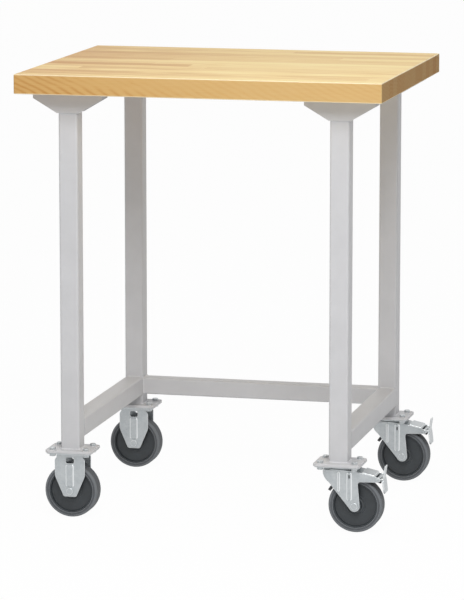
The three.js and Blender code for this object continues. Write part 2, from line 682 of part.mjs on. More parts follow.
/** The brake strip: a spring strip over the tread, from a block at the nose to a tail under the cam. */
function brakeStrip() {
  const eye = [TRAIL, AXLE_HEIGHT];
  const [blockStart, blockEnd] = BRAKE_BLOCK_ANGLES.map(THREE.MathUtils.degToRad);
  const inner = WHEEL_DIAMETER / 2 + BRAKE_TREAD_GAP;
  const outer = inner + BRAKE_STRIP_THICKNESS;
  const tailTop = [
    PEDAL_PIVOT[0] + CAM_OFFSET[0],
    PEDAL_PIVOT[1] + CAM_OFFSET[1] - CAM_RADIUS - RUNNING_GAP,
  ];
  const { angle } = tangentPoint(tailTop, eye, outer, 1);
  const tailBottom = [
    tailTop[0] - BRAKE_STRIP_THICKNESS * Math.cos(angle),
    tailTop[1] - BRAKE_STRIP_THICKNESS * Math.sin(angle),
  ];
  const strip = new THREE.Shape();
  strip.moveTo(...tailBottom);
  strip.lineTo(...tailTop);
  strip.absarc(...eye, outer, angle, blockEnd);
  strip.absarc(...eye, inner, blockEnd, angle, true);
  strip.closePath();
  const block = new THREE.Shape();
  block.absarc(...eye, inner + BRAKE_BLOCK_THICKNESS, blockStart, blockEnd);
  block.absarc(...eye, inner, blockEnd, blockStart, true);
  block.closePath();
  const blockHalf = FORK_GAP / 2 - RUNNING_GAP;
  return carve([
    acrossY(strip, -BRAKE_STRIP_WIDTH / 2, BRAKE_STRIP_WIDTH / 2, HOLE_STEPS),
    acrossY(block, -blockHalf, blockHalf, CORNER_STEPS),
  ]);
}

/** The pieces that stand under every leg: foot plate and castor bolts. */
function footing(name) {
  const group = new THREE.Group();
  group.add(piece(`foot_plate_${name}`, footPlate(), GREY_PAINT));
  boltPlaces().forEach(([x, y], i) => {
    const bolt = piece(`castor_bolt_${name}_${i + 1}`, castorBolt(), ZINC);
    bolt.position.set(x, y, 0);
    group.add(bolt);
  });
  return group;
}

/** A wheel on its axle, with the axle at x = trail. */
function wheelSet(name, trail) {
  const group = new THREE.Group();
  group.add(piece(`wheel_tyre_${name}`, tyre(), RUBBER));
  group.add(piece(`wheel_rim_${name}`, rim(), RIM_PLASTIC));
  group.add(piece(`axle_${name}`, crossPin(AXLE_DIAMETER, AXLE_HEAD_DIAMETER, AXLE_HEAD_HEIGHT), ZINC));
  group.position.set(trail, 0, AXLE_HEIGHT);
  return group;
}

/** A castor that only rolls. */
function fixedCastor(name) {
  const group = new THREE.Group();
  group.add(piece(`fixed_fork_${name}`, fixedFork(), ZINC));
  group.add(wheelSet(name, 0));
  return group;
}

/** A castor that rolls, swivels and locks. */
function swivelCastor(name) {
  const group = new THREE.Group();
  group.add(piece(`swivel_plate_${name}`, swivelPlate(), ZINC));
  group.add(piece(`ball_race_${name}`, ballRace(), ZINC));
  group.add(piece(`king_pin_${name}`, kingPin(), ZINC));
  group.add(piece(`swivel_fork_${name}`, swivelFork(), ZINC));
  group.add(piece(`brake_pedal_${name}`, brakePedal(), ZINC));
  group.add(piece(`brake_strip_${name}`, brakeStrip(), BLACK_STEEL));
  const pin = crossPin(PEDAL_PIN_DIAMETER, PEDAL_PIN_HEAD_DIAMETER, PEDAL_PIN_HEAD_HEIGHT);
  const pedalPin = piece(`pedal_pin_${name}`, pin, ZINC);
  pedalPin.position.set(PEDAL_PIVOT[0], 0, PEDAL_PIVOT[1]);
  group.add(pedalPin);
  group.add(wheelSet(name, TRAIL));
  return group;
}

/** The rails that tie the legs together: one at each end and one along the rear. */
function rails() {
  const group = new THREE.Group();
  const sideMiddle = FOOT_TOP + RAIL_ABOVE_FOOT + LEG_SIDE / 2;
  const sideSection = tubeSection(LEG_SIDE, LEG_WALL, LEG_CORNER_RADIUS);
  for (const [name, x] of [['left', -LEG_X], ['right', LEG_X]]) {
    const rail = raise(sideSection, FRONT_LEG_Y + LEG_SIDE / 2, REAR_LEG_Y - LEG_SIDE / 2);
    rail.rotateX(-Math.PI / 2).translate(x, 0, sideMiddle);
    group.add(piece(`side_stretcher_${name}`, rail, GREY_PAINT));
  }
  const rearSection = tubeSection(REAR_RAIL_SIDE, REAR_RAIL_WALL, REAR_RAIL_CORNER_RADIUS);
  const rear = acrossX(rearSection, -LEG_X + LEG_SIDE / 2, LEG_X - LEG_SIDE / 2);
  rear.translate(0, REAR_LEG_Y, sideMiddle);
  group.add(piece('rear_stretcher', rear, GREY_PAINT));
  return group;
}

const table = new THREE.Group();
table.add(piece('table_top', worktop(), BEECH));
table.add(rails());
for (const { name, x, y } of LEG_PLACES) {
  const corner = new THREE.Group();
  corner.add(piece(`leg_${name}`, leg(), GREY_PAINT));
  corner.add(piece(`head_bracket_${name}`, headBracket(), GREY_PAINT));
  corner.add(footing(name));
  corner.add(name.endsWith('right') ? swivelCastor(name) : fixedCastor(name));
  corner.position.set(x, y, 0);
  table.add(corner);
}

export default table;
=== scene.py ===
"""Dresses the mobile assembly table: a beech top on a grey welded frame with four castors.

Sizes are in millimetres and are turned into metres where a mesh is made. Castor pieces are drawn about the
castor's own centre on the floor and then moved under their legs.
"""

from __future__ import annotations

import json
import logging
import math
from contextlib import contextmanager
from dataclasses import dataclass
from enum import Enum
from typing import Any, Callable, Iterator, Sequence

import bmesh
import bpy
from bpy.types import Material, Node, NodeSocket, NodeTree, Object
from mathutils import Matrix, Vector

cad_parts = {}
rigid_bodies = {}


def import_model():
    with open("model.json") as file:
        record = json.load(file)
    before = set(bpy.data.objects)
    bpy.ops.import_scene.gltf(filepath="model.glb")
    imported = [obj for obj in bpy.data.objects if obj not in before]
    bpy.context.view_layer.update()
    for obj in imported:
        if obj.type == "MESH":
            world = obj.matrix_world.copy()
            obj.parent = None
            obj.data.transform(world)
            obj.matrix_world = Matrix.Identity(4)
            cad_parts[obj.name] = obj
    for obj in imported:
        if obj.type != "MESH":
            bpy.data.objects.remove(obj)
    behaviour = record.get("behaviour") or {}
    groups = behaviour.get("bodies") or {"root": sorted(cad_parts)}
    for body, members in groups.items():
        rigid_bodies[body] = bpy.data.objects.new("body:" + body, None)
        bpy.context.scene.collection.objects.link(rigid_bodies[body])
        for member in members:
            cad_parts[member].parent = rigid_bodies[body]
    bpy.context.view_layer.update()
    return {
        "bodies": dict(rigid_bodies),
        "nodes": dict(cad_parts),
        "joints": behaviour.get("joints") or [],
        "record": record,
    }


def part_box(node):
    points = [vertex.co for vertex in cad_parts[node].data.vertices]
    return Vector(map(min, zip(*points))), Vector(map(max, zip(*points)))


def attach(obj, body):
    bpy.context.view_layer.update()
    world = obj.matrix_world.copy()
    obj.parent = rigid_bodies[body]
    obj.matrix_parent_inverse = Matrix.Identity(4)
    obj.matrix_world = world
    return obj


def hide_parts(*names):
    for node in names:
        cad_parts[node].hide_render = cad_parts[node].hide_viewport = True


LOG = logging.getLogger("assembly_table")
MM = 0.001
SOFT_ANGLE = math.radians(32)
# Points nearer than these are one: doubled points, and the slivers that cuts leave.
DOUBLED = 0.005
SLIVER = 0.16
# How far off a level or a place a point may be and still count as there.
SLACK = 0.01
# Face attribute for painted highlights: a lighter colour on rounded edges and rib shoulders, standing in for
# the light they catch, from 0 to 1.
PAINTED_HIGHLIGHT = "polished"
Point = tuple[float, float]


class Axis(Enum):
    """The direction that a slab's thickness or a turned piece's axle lies along, by its coordinate."""

    X = 0
    Y = 1
    Z = 2

    def point(self, first: float, second: float, depth: float) -> Vector:
        """A point from two coordinates across the direction and a depth along it."""
        across = (first, second)
        return Vector((*across[: self.value], depth, *across[self.value :]))


class Slot(Enum):
    """The record's material slots."""

    BEECH = "beech"
    GREY_PAINT = "grey_paint"
    ZINC = "zinc"
    BLACK_STEEL = "black_steel"
    TYRE_RUBBER = "tyre_rubber"
    RIM_PLASTIC = "rim_plastic"


class Corner(Enum):
    """A leg's place: its name and its middle on the floor."""

    FRONT_LEFT = ("front_left", -316.5, -262.5)
    REAR_LEFT = ("rear_left", -316.5, 302.5)
    FRONT_RIGHT = ("front_right", 316.5, -262.5)
    REAR_RIGHT = ("rear_right", 316.5, 302.5)

    @property
    def label(self) -> str:
        """The corner's name, as the nodes end in it."""
        return self.value[0]

    @property
    def place(self) -> Vector:
        """The corner's middle on the floor, in millimetres."""
        return Vector((self.value[1], self.value[2], 0.0))


CORNERS = tuple(Corner)
FIXED_CORNERS = (Corner.FRONT_LEFT, Corner.REAR_LEFT)
SWIVEL_CORNERS = (Corner.FRONT_RIGHT, Corner.REAR_RIGHT)
CENTRE = Vector((0.0, 0.0, 0.0))


def linear(code: str) -> tuple[float, float, float, float]:
    """Turns an sRGB hex colour to linear.

    Args:
        code: The colour, such as "#C8C9CB".

    Returns:
        Red, green, blue and alpha.
    """
    parts = [int(code[i : i + 2], 16) / 255 for i in (1, 3, 5)]
    red, green, blue = (c / 12.92 if c <= 0.04045 else ((c + 0.055) / 1.055) ** 2.4 for c in parts)
    return (red, green, blue, 1.0)


def per_metre(millimetres: float) -> float:
    """A pattern's scale on Object coordinates for one cycle in that many millimetres."""
    return 1000.0 / millimetres


def box_of(node: str) -> list[Vector]:
    """The lowest and the highest corner of a CAD node's box, in millimetres."""
    return [Vector(corner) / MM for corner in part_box(node)]


# Outlines


def arc(centre: Point, radius: float, start: float, end: float, steps: int) -> list[Point]:
    """Points along an arc from one angle in degrees to another, in straight steps, with both ends."""
    angles = [math.radians(start + (end - start) * i / steps) for i in range(steps + 1)]
    return [(centre[0] + radius * math.cos(a), centre[1] + radius * math.sin(a)) for a in angles]


def circle(centre: Point, radius: float, steps: int) -> list[Point]:
    """Points round a circle, each one once."""
    return arc(centre, radius, 0, 360 - 360 / steps, steps - 1)


def bow(start: Point, pull: Point, end: Point, steps: int) -> list[Point]:
    """Points along a curve that leaves one point and reaches another, drawn towards a third.

    Args:
        start: The first point.
        pull: The point that the curve is drawn towards.
        end: The last point.
        steps: How many straight steps it is drawn in.

    Returns:
        The points, both ends among them.
    """
    points = []
    for i in range(steps + 1):
        t = i / steps
        weights = ((1 - t) ** 2, 2 * t * (1 - t), t * t)
        points.append(tuple(sum(w * p[k] for w, p in zip(weights, (start, pull, end))) for k in (0, 1)))
    return points


def rounded(
    width: float, height: float, radius: float, centre: Point = (0.0, 0.0), steps: int = 8
) -> list[Point]:
    """The outline of a rectangle with round corners.

    Args:
        width: The side along the first coordinate.
        height: The side along the second coordinate.
        radius: The corners' radius.
        centre: The rectangle's middle.
        steps: How many straight steps each corner is drawn in.

    Returns:
        The outline's points.
    """
    x, y = width / 2 - radius, height / 2 - radius
    outline = []
    for turn, (sx, sy) in enumerate(((1, 1), (-1, 1), (-1, -1), (1, -1))):
        outline += arc((centre[0] + sx * x, centre[1] + sy * y), radius, 90 * turn, 90 * turn + 90, steps)
    return outline


def folded(
    inner: float, sheet: float, bend: float, foot: float, under: float, top: float, steps: int
) -> list[Point]:
    """The section of a sheet that is folded into a channel, open below.

    Args:
        inner: Half its width inside.
        sheet: The sheet's thickness.
        bend: The folds' outer radius.
        foot: The level of its lower edges.
        under: The level of its web's lower face.
        top: The level of its web's upper face.
        steps: How many straight steps the outside of each fold is drawn in.

    Returns:
        The section's points.
    """
    outer, tight = inner + sheet, bend - sheet
    section = [(-outer, foot), (-inner, foot)]
    section += arc((-inner + tight, under - tight), tight, 180, 90, 4)
    section += arc((inner - tight, under - tight), tight, 90, 0, 4)
    section += [(inner, foot), (outer, foot)]
    section += arc((outer - bend, top - bend), bend, 0, 90, steps)
    return section + arc((-outer + bend, top - bend), bend, 90, 180, steps)


def both_sides(half: Sequence[Point]) -> list[Point]:
    """A turned piece's whole profile, from the half of it that starts at its middle."""
    return [(radius, -place) for radius, place in reversed(half[1:])] + list(half)


def tangent(point: Point, centre: Point, radius: float, side: int) -> float:
    """The angle in degrees where a line from a point touches a circle, on its side 1 or -1."""
    dx, dy = point[0] - centre[0], point[1] - centre[1]
    return math.degrees(math.atan2(dy, dx) + side * math.acos(radius / math.hypot(dx, dy)))


def along(start: Point, end: Point, way: float) -> Point:
    """A point some way along the line from one point to another."""
    share = way / math.dist(start, end)
    return (start[0] + (end[0] - start[0]) * share, start[1] + (end[1] - start[1]) * share)


# Modelling


def start_fresh() -> None:
    """Leaves edit mode and deselects everything."""
    if bpy.context.object and bpy.context.object.mode != "OBJECT":
        bpy.ops.object.mode_set(mode="OBJECT")
    bpy.ops.object.select_all(action="DESELECT")


def make_active(obj: Object) -> None:
    """Selects one object alone and makes it the active one.

    Args:
        obj: The object.
    """
    start_fresh()
    obj.select_set(True)
    bpy.context.view_layer.objects.active = obj


def named(name: str) -> Object:
    """Names the active object, which has just been added or joined.

    Args:
        name: The name.

    Returns:
        The object.
    """
    obj = bpy.context.active_object
    obj.name = obj.data.name = name
    return obj


@contextmanager
def editing(obj: Object, mode: str, action: str = "SELECT") -> Iterator[bmesh.types.BMesh]:
    """Edits one object's mesh.

    Args:
        obj: The object.
        mode: The selection mode, VERT, EDGE or FACE.
        action: SELECT or DESELECT, for all of it or nothing selected at first.

    Yields:
        The mesh that is edited.
    """
    make_active(obj)
    bpy.ops.object.mode_set(mode="EDIT")
    bpy.ops.mesh.select_mode(type=mode)
    bpy.ops.mesh.select_all(action=action)
    yield bmesh.from_edit_mesh(obj.data)
    bpy.ops.object.mode_set(mode="OBJECT")


def bevel_where(
    obj: Object, wanted: Callable[[Vector, Vector], bool], width: float, segments: int, clamp: bool = False
) -> None:
    """Rounds the edges that a test picks by their place.

    Args:
        obj: The object.
        wanted: Takes an edge's ends in millimetres and says whether it is rounded.
        width: The rounding's width in millimetres.
        segments: How many faces it is drawn in.
        clamp: Whether it stops where it would run into another one.
    """
    with editing(obj, "EDGE", "DESELECT") as mesh:
        for edge in mesh.edges:
            edge.select_set(wanted(*(v.co / MM for v in edge.verts)))
        mesh.select_flush_mode()
        bmesh.update_edit_mesh(obj.data)
        bpy.ops.mesh.bevel(
            offset=width * MM, segments=segments, profile=0.5, affect="EDGES", clamp_overlap=clamp
        )


def merge_points(obj: Object, nearer: float = DOUBLED) -> None:
    """Merges points that are too near each other, and turns the faces outwards.

    Args:
        obj: The object.
        nearer: The distance in millimetres.
    """
    with editing(obj, "VERT"):
        bpy.ops.mesh.remove_doubles(threshold=nearer * MM)
        bpy.ops.mesh.normals_make_consistent(inside=False)


def apply_modifier(obj: Object, kind: str, **settings: Any) -> None:
    """Adds a modifier and applies it.

    Args:
        obj: The object.
        kind: The modifier's type.
        settings: Its properties.
    """
    make_active(obj)
    modifier = obj.modifiers.new(kind.lower(), kind)
    for key, value in settings.items():
        setattr(modifier, key, value)
    bpy.ops.object.modifier_apply(modifier=modifier.name)


def smooth(obj: Object) -> None:
    """Shades a piece smooth up to the soft angle, with its large faces left flat.

    Args:
        obj: The piece.
    """
    make_active(obj)
    bpy.ops.object.shade_smooth_by_angle(angle=SOFT_ANGLE)
    apply_modifier(obj, "WEIGHTED_NORMAL", keep_sharp=True)


def mark_polished(obj: Object, shine: Callable[[bmesh.types.BMFace], float]) -> None:
    """Marks faces that get a painted highlight, a lighter colour that stands in for light caught there,
    beside those already marked.

    Args:
        obj: The piece.
        shine: Takes a face and gives the strength of its painted highlight, from 0 to 1.
    """
    mesh = bmesh.new()
    mesh.from_mesh(obj.data)
    mesh.normal_update()
    layer = mesh.faces.layers.float.get(PAINTED_HIGHLIGHT) or mesh.faces.layers.float.new(PAINTED_HIGHLIGHT)
    for face in mesh.faces:
        face[layer] = max(face[layer], shine(face))
    mesh.to_mesh(obj.data)
    mesh.free()


def narrow_edge(face: bmesh.types.BMFace) -> float:
    """The painted highlight on a rounded edge's faces, which are less than 0.8 mm wide."""
    return 0.6 if 2 * face.calc_area() < 0.8 * MM * face.calc_perimeter() else 0.0


def rib_shoulder(face: bmesh.types.BMFace) -> float:
    """The painted highlight on the rounded long sides of a pressed rib, standing in for light caught there.
    """
    return 0.8 if 0.25 < abs(face.normal.x) < 0.9 and abs(face.normal.z) < 0.2 else 0.0


def ease_edges(obj: Object, width: float, segments: int = 3, angle: float = 40.0) -> None:
    """Rounds every edge that is sharper than an angle, once the slivers that cuts leave are merged.

    Args:
        obj: The object.
        width: The rounding's width in millimetres.
        segments: How many faces it is drawn in.
        angle: The least angle in degrees.
    """
    merge_points(obj, SLIVER)
    apply_modifier(
        obj, "BEVEL", width=width * MM, segments=segments, limit_method="ANGLE",
        angle_limit=math.radians(angle), use_clamp_overlap=False, miter_outer="MITER_ARC",
    )


def combine(obj: Object, other: Object, how: str) -> None:
    """Cuts, trims or welds one solid with another, which is used up.

    Args:
        obj: The solid that stays.
        other: The other solid.
        how: DIFFERENCE, INTERSECT or UNION.
    """
    apply_modifier(obj, "BOOLEAN", object=other, operation=how, solver="EXACT")
    drop(other)
    merge_points(obj)


def join(name: str, parts: Sequence[Object]) -> Object:
    """Joins objects into one piece.

    Args:
        name: The piece's name.
        parts: The objects.

    Returns:
        The piece.
    """
    make_active(parts[0])
    for part in parts[1:]:
        part.select_set(True)
    bpy.ops.object.join()
    return named(name)


def copied(obj: Object, name: str, move: Vector) -> Object:
    """Copies a piece with its own mesh and moves the mesh.

    Args:
        obj: The piece that was modelled once.
        name: The copy's name.
        move: How far it moves, in millimetres.

    Returns:
        The copy.
    """
    mesh = obj.data.copy()
    mesh.name = name
    mesh.transform(Matrix.Translation(move * MM))
    twin = bpy.data.objects.new(name, mesh)
    bpy.context.scene.collection.objects.link(twin)
    return twin


def drop(*objects: Object) -> None:
    """Removes objects that have been used up."""
    for obj in objects:
        bpy.data.objects.remove(obj, do_unlink=True)


def slab(name: str, outline: Sequence[Point], axis: Axis, start: float, end: float) -> Object:
    """Draws an outline as one face and extrudes it.

    Args:
        name: The piece's name.
        outline: The outline's points in millimetres, in the plane across the axis.
        axis: The direction of its thickness.
        start: One end along the axis.
        end: The other end.

    Returns:
        The solid.
    """
    low, high = min(start, end), max(start, end)
    start_fresh()
    bpy.ops.mesh.primitive_circle_add(vertices=len(outline), radius=1.0, fill_type="NGON")
    obj = named(name)
    for vertex, (first, second) in zip(obj.data.vertices, outline):
        vertex.co = axis.point(first, second, low) * MM
    with editing(obj, "FACE"):
        step = axis.point(0.0, 0.0, high - low) * MM
        bpy.ops.mesh.extrude_region_move(TRANSFORM_OT_translate={"value": step})
    merge_points(obj)
    return obj


def turned(name: str, profile: Sequence[Point], axis: Axis, centre: Vector, steps: int) -> Object:
    """Spins a closed profile round an axis.

    Args:
        name: The piece's name.
        profile: Points of (radius, place along the axis) in millimetres.
        axis: The direction of the axis, Y or Z.
        centre: A point on the axis, in millimetres.
        steps: How many faces go round.

    Returns:
        The solid.
    """
    start_fresh()
    bpy.ops.mesh.primitive_circle_add(vertices=len(profile), radius=1.0, fill_type="NOTHING")
    obj = named(name)
    middle = centre * MM
    for vertex, (radius, place) in zip(obj.data.vertices, profile):
        vertex.co = middle + axis.point(radius, 0.0, place) * MM
    with editing(obj, "VERT"):
        bpy.ops.mesh.spin(steps=steps, angle=math.tau, center=middle, axis=axis.point(0.0, 0.0, 1.0))
    with editing(obj, "VERT"):
        bpy.ops.mesh.remove_doubles(threshold=0.002 * MM)
        bpy.ops.mesh.dissolve_degenerate(threshold=0.0005 * MM)
        bpy.ops.mesh.normals_make_consistent(inside=False)
    return obj


def rod(name: str, radius: float, axis: Axis, low: float, high: float, place: Point, ease: float) -> Object:
    """A short round bar with eased ends.

    Args:
        name: The piece's name.
        radius: Its radius in millimetres.
        axis: The direction that it lies along.
        low: Where it starts along the axis.
        high: Where it ends along the axis.
        place: Its middle across the axis.
        ease: The rounding of its ends.

    Returns:
        The solid.
    """
    # Facets a little wider than a rounded edge's, so that a thin bar isn't taken for one.
    steps = min(48, max(16, int(math.tau * radius / 0.85)))
    bar = slab(name, circle(place, radius, steps), axis, low, high)
    ease_edges(bar, ease, 3, 60.0)
    return bar


def block(name: str, low: Vector, high: Vector) -> Object:
    """A square block between two corners, ready to be shaped.

    Args:
        name: The piece's name.
        low: Its lowest corner in millimetres.
        high: Its highest corner in millimetres.

    Returns:
        The block.
    """
    start_fresh()
    bpy.ops.mesh.primitive_cube_add(size=1.0, location=(low + high) / 2 * MM, scale=(high - low) * MM)
    obj = named(name)
    bpy.ops.object.transform_apply(location=True, rotation=True, scale=True)
    return obj


def round_long_edges(obj: Object, axis: Axis, radius: float, segments: int) -> None:
    """Rounds a block's four edges along one direction.

    Args:
        obj: The block.
        axis: The edges' direction.
        radius: Their radius in millimetres.
        segments: How many faces each is drawn in.
    """

    def lies_along(first: Vector, second: Vector) -> bool:
        """Whether an edge runs along the axis."""
        step = second - first
        return abs(step[axis.value]) > 0.5 and step.length - abs(step[axis.value]) < 1e-3

    bevel_where(obj, lies_along, radius, segments)


def round_rim(obj: Object, axis: Axis, level: float, radius: float, segments: int) -> None:
    """Rounds the edges that lie at one level, such as the rim of a plate's upper face.

    Args:
        obj: The piece.
        axis: The direction that the level is measured in.
        level: The level in millimetres.
        radius: The rounding in millimetres.
        segments: How many faces it is drawn in.
    """

    def lies_at(*ends: Vector) -> bool:
        """Whether both ends of an edge are at the level."""
        return all(abs(end[axis.value] - level) < SLACK for end in ends)

    bevel_where(obj, lies_at, radius, segments)


@dataclass(frozen=True)
class Rib:
    """A round-ended stiffening rib that stands out from both arms of a fork."""

    width: float
    bottom: float
    top: float
    middle: float
    corner: float = 5.0
    bend: float = 4.4
    proud: float = 2.0
    sunk: float = 2.6

    def pair(self, outer: float) -> list[Object]:
        """The rib on each arm.

        Args:
            outer: Where the arms' outer faces lie across the castor.

        Returns:
            The ribs.
        """
        corner, bend = min(self.width / 2 - 0.01, self.corner), min(self.width / 2 - 0.3, self.bend)
        centre = (self.middle, (self.bottom + self.top) / 2)
        outline = rounded(self.width, self.top - self.bottom, corner, centre, 12)
        ribs = []
        for side in (-1, 1):
            crest = side * (outer + self.proud)
            rib = slab("rib", outline, Axis.Y, side * (outer - self.sunk), crest)
            round_rim(rib, Axis.Y, crest, bend, 7)
            # Painted highlight along the rib's rounded long sides.
            mark_polished(rib, rib_shoulder)
            ribs.append(rib)
        return ribs


@dataclass(frozen=True)
class HeadedPin:
    """A pin across a fork, with a low round head on each arm."""

    radius: float
    ease: float
    head_radius: float
    head_height: float
    head_ease: float
    sunk: float
    seat: float = 27.8

    def solid(self, name: str, place: Point) -> Object:
        """The pin about the castor's centre.

        Args:
            name: The piece's name.
            place: Its middle, seen from the side.

        Returns:
            The pin.
        """
        reach, end = self.seat + self.sunk, self.seat + self.head_height
        parts = [rod("pin_bar", self.radius, Axis.Y, -reach, reach, place, self.ease)]
        for low, high in ((-end, -self.seat), (self.seat, end)):
            parts.append(rod("pin_head", self.head_radius, Axis.Y, low, high, place, self.head_ease))
        return join(name, parts)


# Finishes


def add(
    tree: NodeTree, kind: str, settings: dict[Any, Any] | None = None, links: dict[Any, Any] | None = None
) -> Node:
    """Adds a node with its settings and links.

    Args:
        tree: The node tree.
        kind: The node's type.
        settings: Values by property name, or by input name or number. Properties come first, because some
            of them change the inputs.
        links: The output socket for each input, by its name or number.

    Returns:
        The node.
    """
    node = tree.nodes.new(kind)
    inputs = {}
    for key, value in (settings or {}).items():
        if isinstance(key, str) and key in node.bl_rna.properties:
            setattr(node, key, value)
        else:
            inputs[key] = value
    for key, value in inputs.items():
        node.inputs[key].default_value = value
    for key, socket in (links or {}).items():
        tree.links.new(socket, node.inputs[key])
    return node


@dataclass(frozen=True)
class Graph:
    """A material's nodes, with short ways to add those that finishes share."""

    tree: NodeTree
    shader: Node
    place: NodeSocket

    def feed(self, name: str, socket: NodeSocket) -> None:
        """Links a socket to one of the surface shader's inputs."""
        self.tree.links.new(socket, self.shader.inputs[name])

    def sum(self, operation: str, *values: Any) -> NodeSocket:
        """The result of one sum.

        Args:
            operation: The sum's kind.
            values: Numbers or sockets.

        Returns:
            The result.
        """
        numbers = {i: v for i, v in enumerate(values) if isinstance(v, (int, float))}
        sockets = {i: v for i, v in enumerate(values) if i not in numbers}
        return add(self.tree, "ShaderNodeMath", {"operation": operation, **numbers}, sockets).outputs[0]

    def spread(
        self, value: NodeSocket, start: float, end: float, low: float = 0.0, high: float = 1.0
    ) -> NodeSocket:
        """Maps a value from a range to another one, and holds it there."""
        limits = {"From Min": start, "From Max": end, "To Min": low, "To Max": high}
        return add(self.tree, "ShaderNodeMapRange", limits, {"Value": value}).outputs["Result"]

    def split(self, vector: NodeSocket) -> Any:
        """The three parts of a vector."""
        return add(self.tree, "ShaderNodeSeparateXYZ", links={"Vector": vector}).outputs

    def noise(
        self, sizes: Sequence[float], detail: float, roughness: float = 0.5, seed: NodeSocket | None = None
    ) -> NodeSocket:
        """Noise on the piece's own coordinates.

        Args:
            sizes: The size of its clouds along X, Y and Z in millimetres.
            detail: How many finer layers it has.
            roughness: How strong they are.
            seed: What picks one noise of many, or nothing.

        Returns:
            The noise's value.
        """
        scale = {"Scale": [per_metre(size) for size in sizes]}
        sized = add(self.tree, "ShaderNodeMapping", scale, {"Vector": self.place}).outputs["Vector"]
        settings = {"noise_dimensions": "4D" if seed else "3D", "Scale": 1.0, "Detail": detail}
        links = {"Vector": sized, "W": seed} if seed else {"Vector": sized}
        settings["Roughness"] = roughness
        return add(self.tree, "ShaderNodeTexNoise", settings, links).outputs["Fac"]

    def blend(self, share: NodeSocket, first: NodeSocket, second: NodeSocket) -> NodeSocket:
        """A value between two others."""
        links = {0: share, 2: first, 3: second}
        return add(self.tree, "ShaderNodeMix", {"data_type": "FLOAT"}, links).outputs[0]

    def tint(self, share: NodeSocket, colour: NodeSocket, code: str) -> NodeSocket:
        """A colour with a share of a plain one mixed in."""
        settings = {"data_type": "RGBA", 7: linear(code)}
        return add(self.tree, "ShaderNodeMix", settings, {0: share, 6: colour}).outputs[2]

    def shades(self, value: NodeSocket, *stops: tuple[float, str]) -> NodeSocket:
        """Turns a value into colours.

        Args:
            value: The value.
            stops: Places from 0 to 1 with their colours.

        Returns:
            The colour.
        """
        node = add(self.tree, "ShaderNodeValToRGB", links={"Fac": value})
        elements = node.color_ramp.elements
        while len(elements) < len(stops):
            elements.new(0.5)
        for element, (place, code) in zip(elements, stops):
            element.position = place
            element.color = linear(code)
        return node.outputs["Color"]

    def relief(self, height: NodeSocket, strength: float, depth: float) -> None:
        """Gives the surface a relief, whose depth is in millimetres."""
        settings = {"Strength": strength, "Distance": depth * MM}
        self.feed("Normal", add(self.tree, "ShaderNodeBump", settings, {"Height": height}).outputs["Normal"])


@dataclass(frozen=True, kw_only=True)
class Finish:
    """A surface: its name, its slot, its colours, and how its light is scattered."""

    name: str
    slot: Slot
    colour: str
    dark: str
    # The colour of the painted highlight on marked rounded edges.
    edge: str
    roughness: float
    spread: float
    metallic: float = 0.0
    ior: float = 1.5

    def build(self) -> Material:
        """Makes the material, which has a painted highlight on marked edges and whose gloss wanders.

        Returns:
            The material.
        """
        material = bpy.data.materials.new(self.name)
        material.use_nodes = True
        tree = material.node_tree
        shader = tree.nodes["Principled BSDF"]
        shader.inputs["Metallic"].default_value = self.metallic
        shader.inputs["IOR"].default_value = self.ior
        shader.inputs["Roughness"].default_value = self.roughness
        graph = Graph(tree, shader, add(tree, "ShaderNodeTexCoord").outputs["Object"])
        colour, pattern = self.paint(graph)
        # Marked faces take the edge colour: a painted highlight.
        polished = add(tree, "ShaderNodeAttribute", {"attribute_name": PAINTED_HIGHLIGHT}).outputs["Fac"]
        graph.feed("Base Color", graph.tint(polished, colour, self.edge))
        low, high = self.roughness - self.spread, self.roughness + self.spread
        graph.feed("Roughness", graph.spread(pattern, 0.0, 1.0, low, high))
        return material

    def paint(self, graph: Graph) -> tuple[NodeSocket, NodeSocket]:
        """Draws the pattern: its colour away from the painted edge highlights, and the value its gloss
        wanders with.
        """
        raise NotImplementedError


@dataclass(frozen=True, kw_only=True)
class Mottled(Finish):
    """A finish with a soft mottle in its colour and gloss, and a fine grit in its relief."""

    mottle_mm: float
    grit_mm: float
    grit_depth: float

    def paint(self, graph: Graph) -> tuple[NodeSocket, NodeSocket]:
        """Draws the mottle and the grit.

        Args:
            graph: The material's nodes.

        Returns:
            The colour, and the value that the gloss wanders with.
        """
        cloud = graph.noise([self.mottle_mm] * 3, detail=4.0, roughness=0.6)
        graph.relief(graph.noise([self.grit_mm] * 3, detail=3.0), strength=0.5, depth=self.grit_depth)
        return graph.shades(cloud, (0.25, self.dark), (0.75, self.colour)), cloud


@dataclass(frozen=True, kw_only=True)
class PlatedSteel(Finish):
    """Bright zinc on pressed steel: a bluish grey metal with a fine spangle and faint rolling lines."""

    spangle_mm: float = 3.5
    spangle_share: float = 0.22
    cloud_mm: float = 18.0
    # Rolling lines are a few hundredths of a millimetre apart; they are far coarser here so that they show.
    rolling_mm: tuple[float, float, float] = (4.0, 4.0, 40.0)

    def paint(self, graph: Graph) -> tuple[NodeSocket, NodeSocket]:
        """Draws the spangle and the rolling lines.

        Args:
            graph: The material's nodes.

        Returns:
            The colour, and the value that the gloss wanders with.
        """
        scale, tree = {"Scale": per_metre(self.spangle_mm)}, graph.tree
        spangle = add(tree, "ShaderNodeTexVoronoi", scale, {"Vector": graph.place}).outputs["Color"]
        crystal = add(tree, "ShaderNodeSeparateColor", links={"Color": spangle}).outputs["Red"]
        cloud = graph.noise([self.cloud_mm] * 3, detail=5.0)
        share = {"data_type": "FLOAT", 0: self.spangle_share}
        mixed = add(tree, "ShaderNodeMix", share, {2: cloud, 3: crystal}).outputs[0]
        graph.relief(graph.noise(self.rolling_mm, detail=2.0), strength=0.12, depth=0.05)
        return graph.shades(mixed, (0.2, self.dark), (0.8, self.colour)), mixed


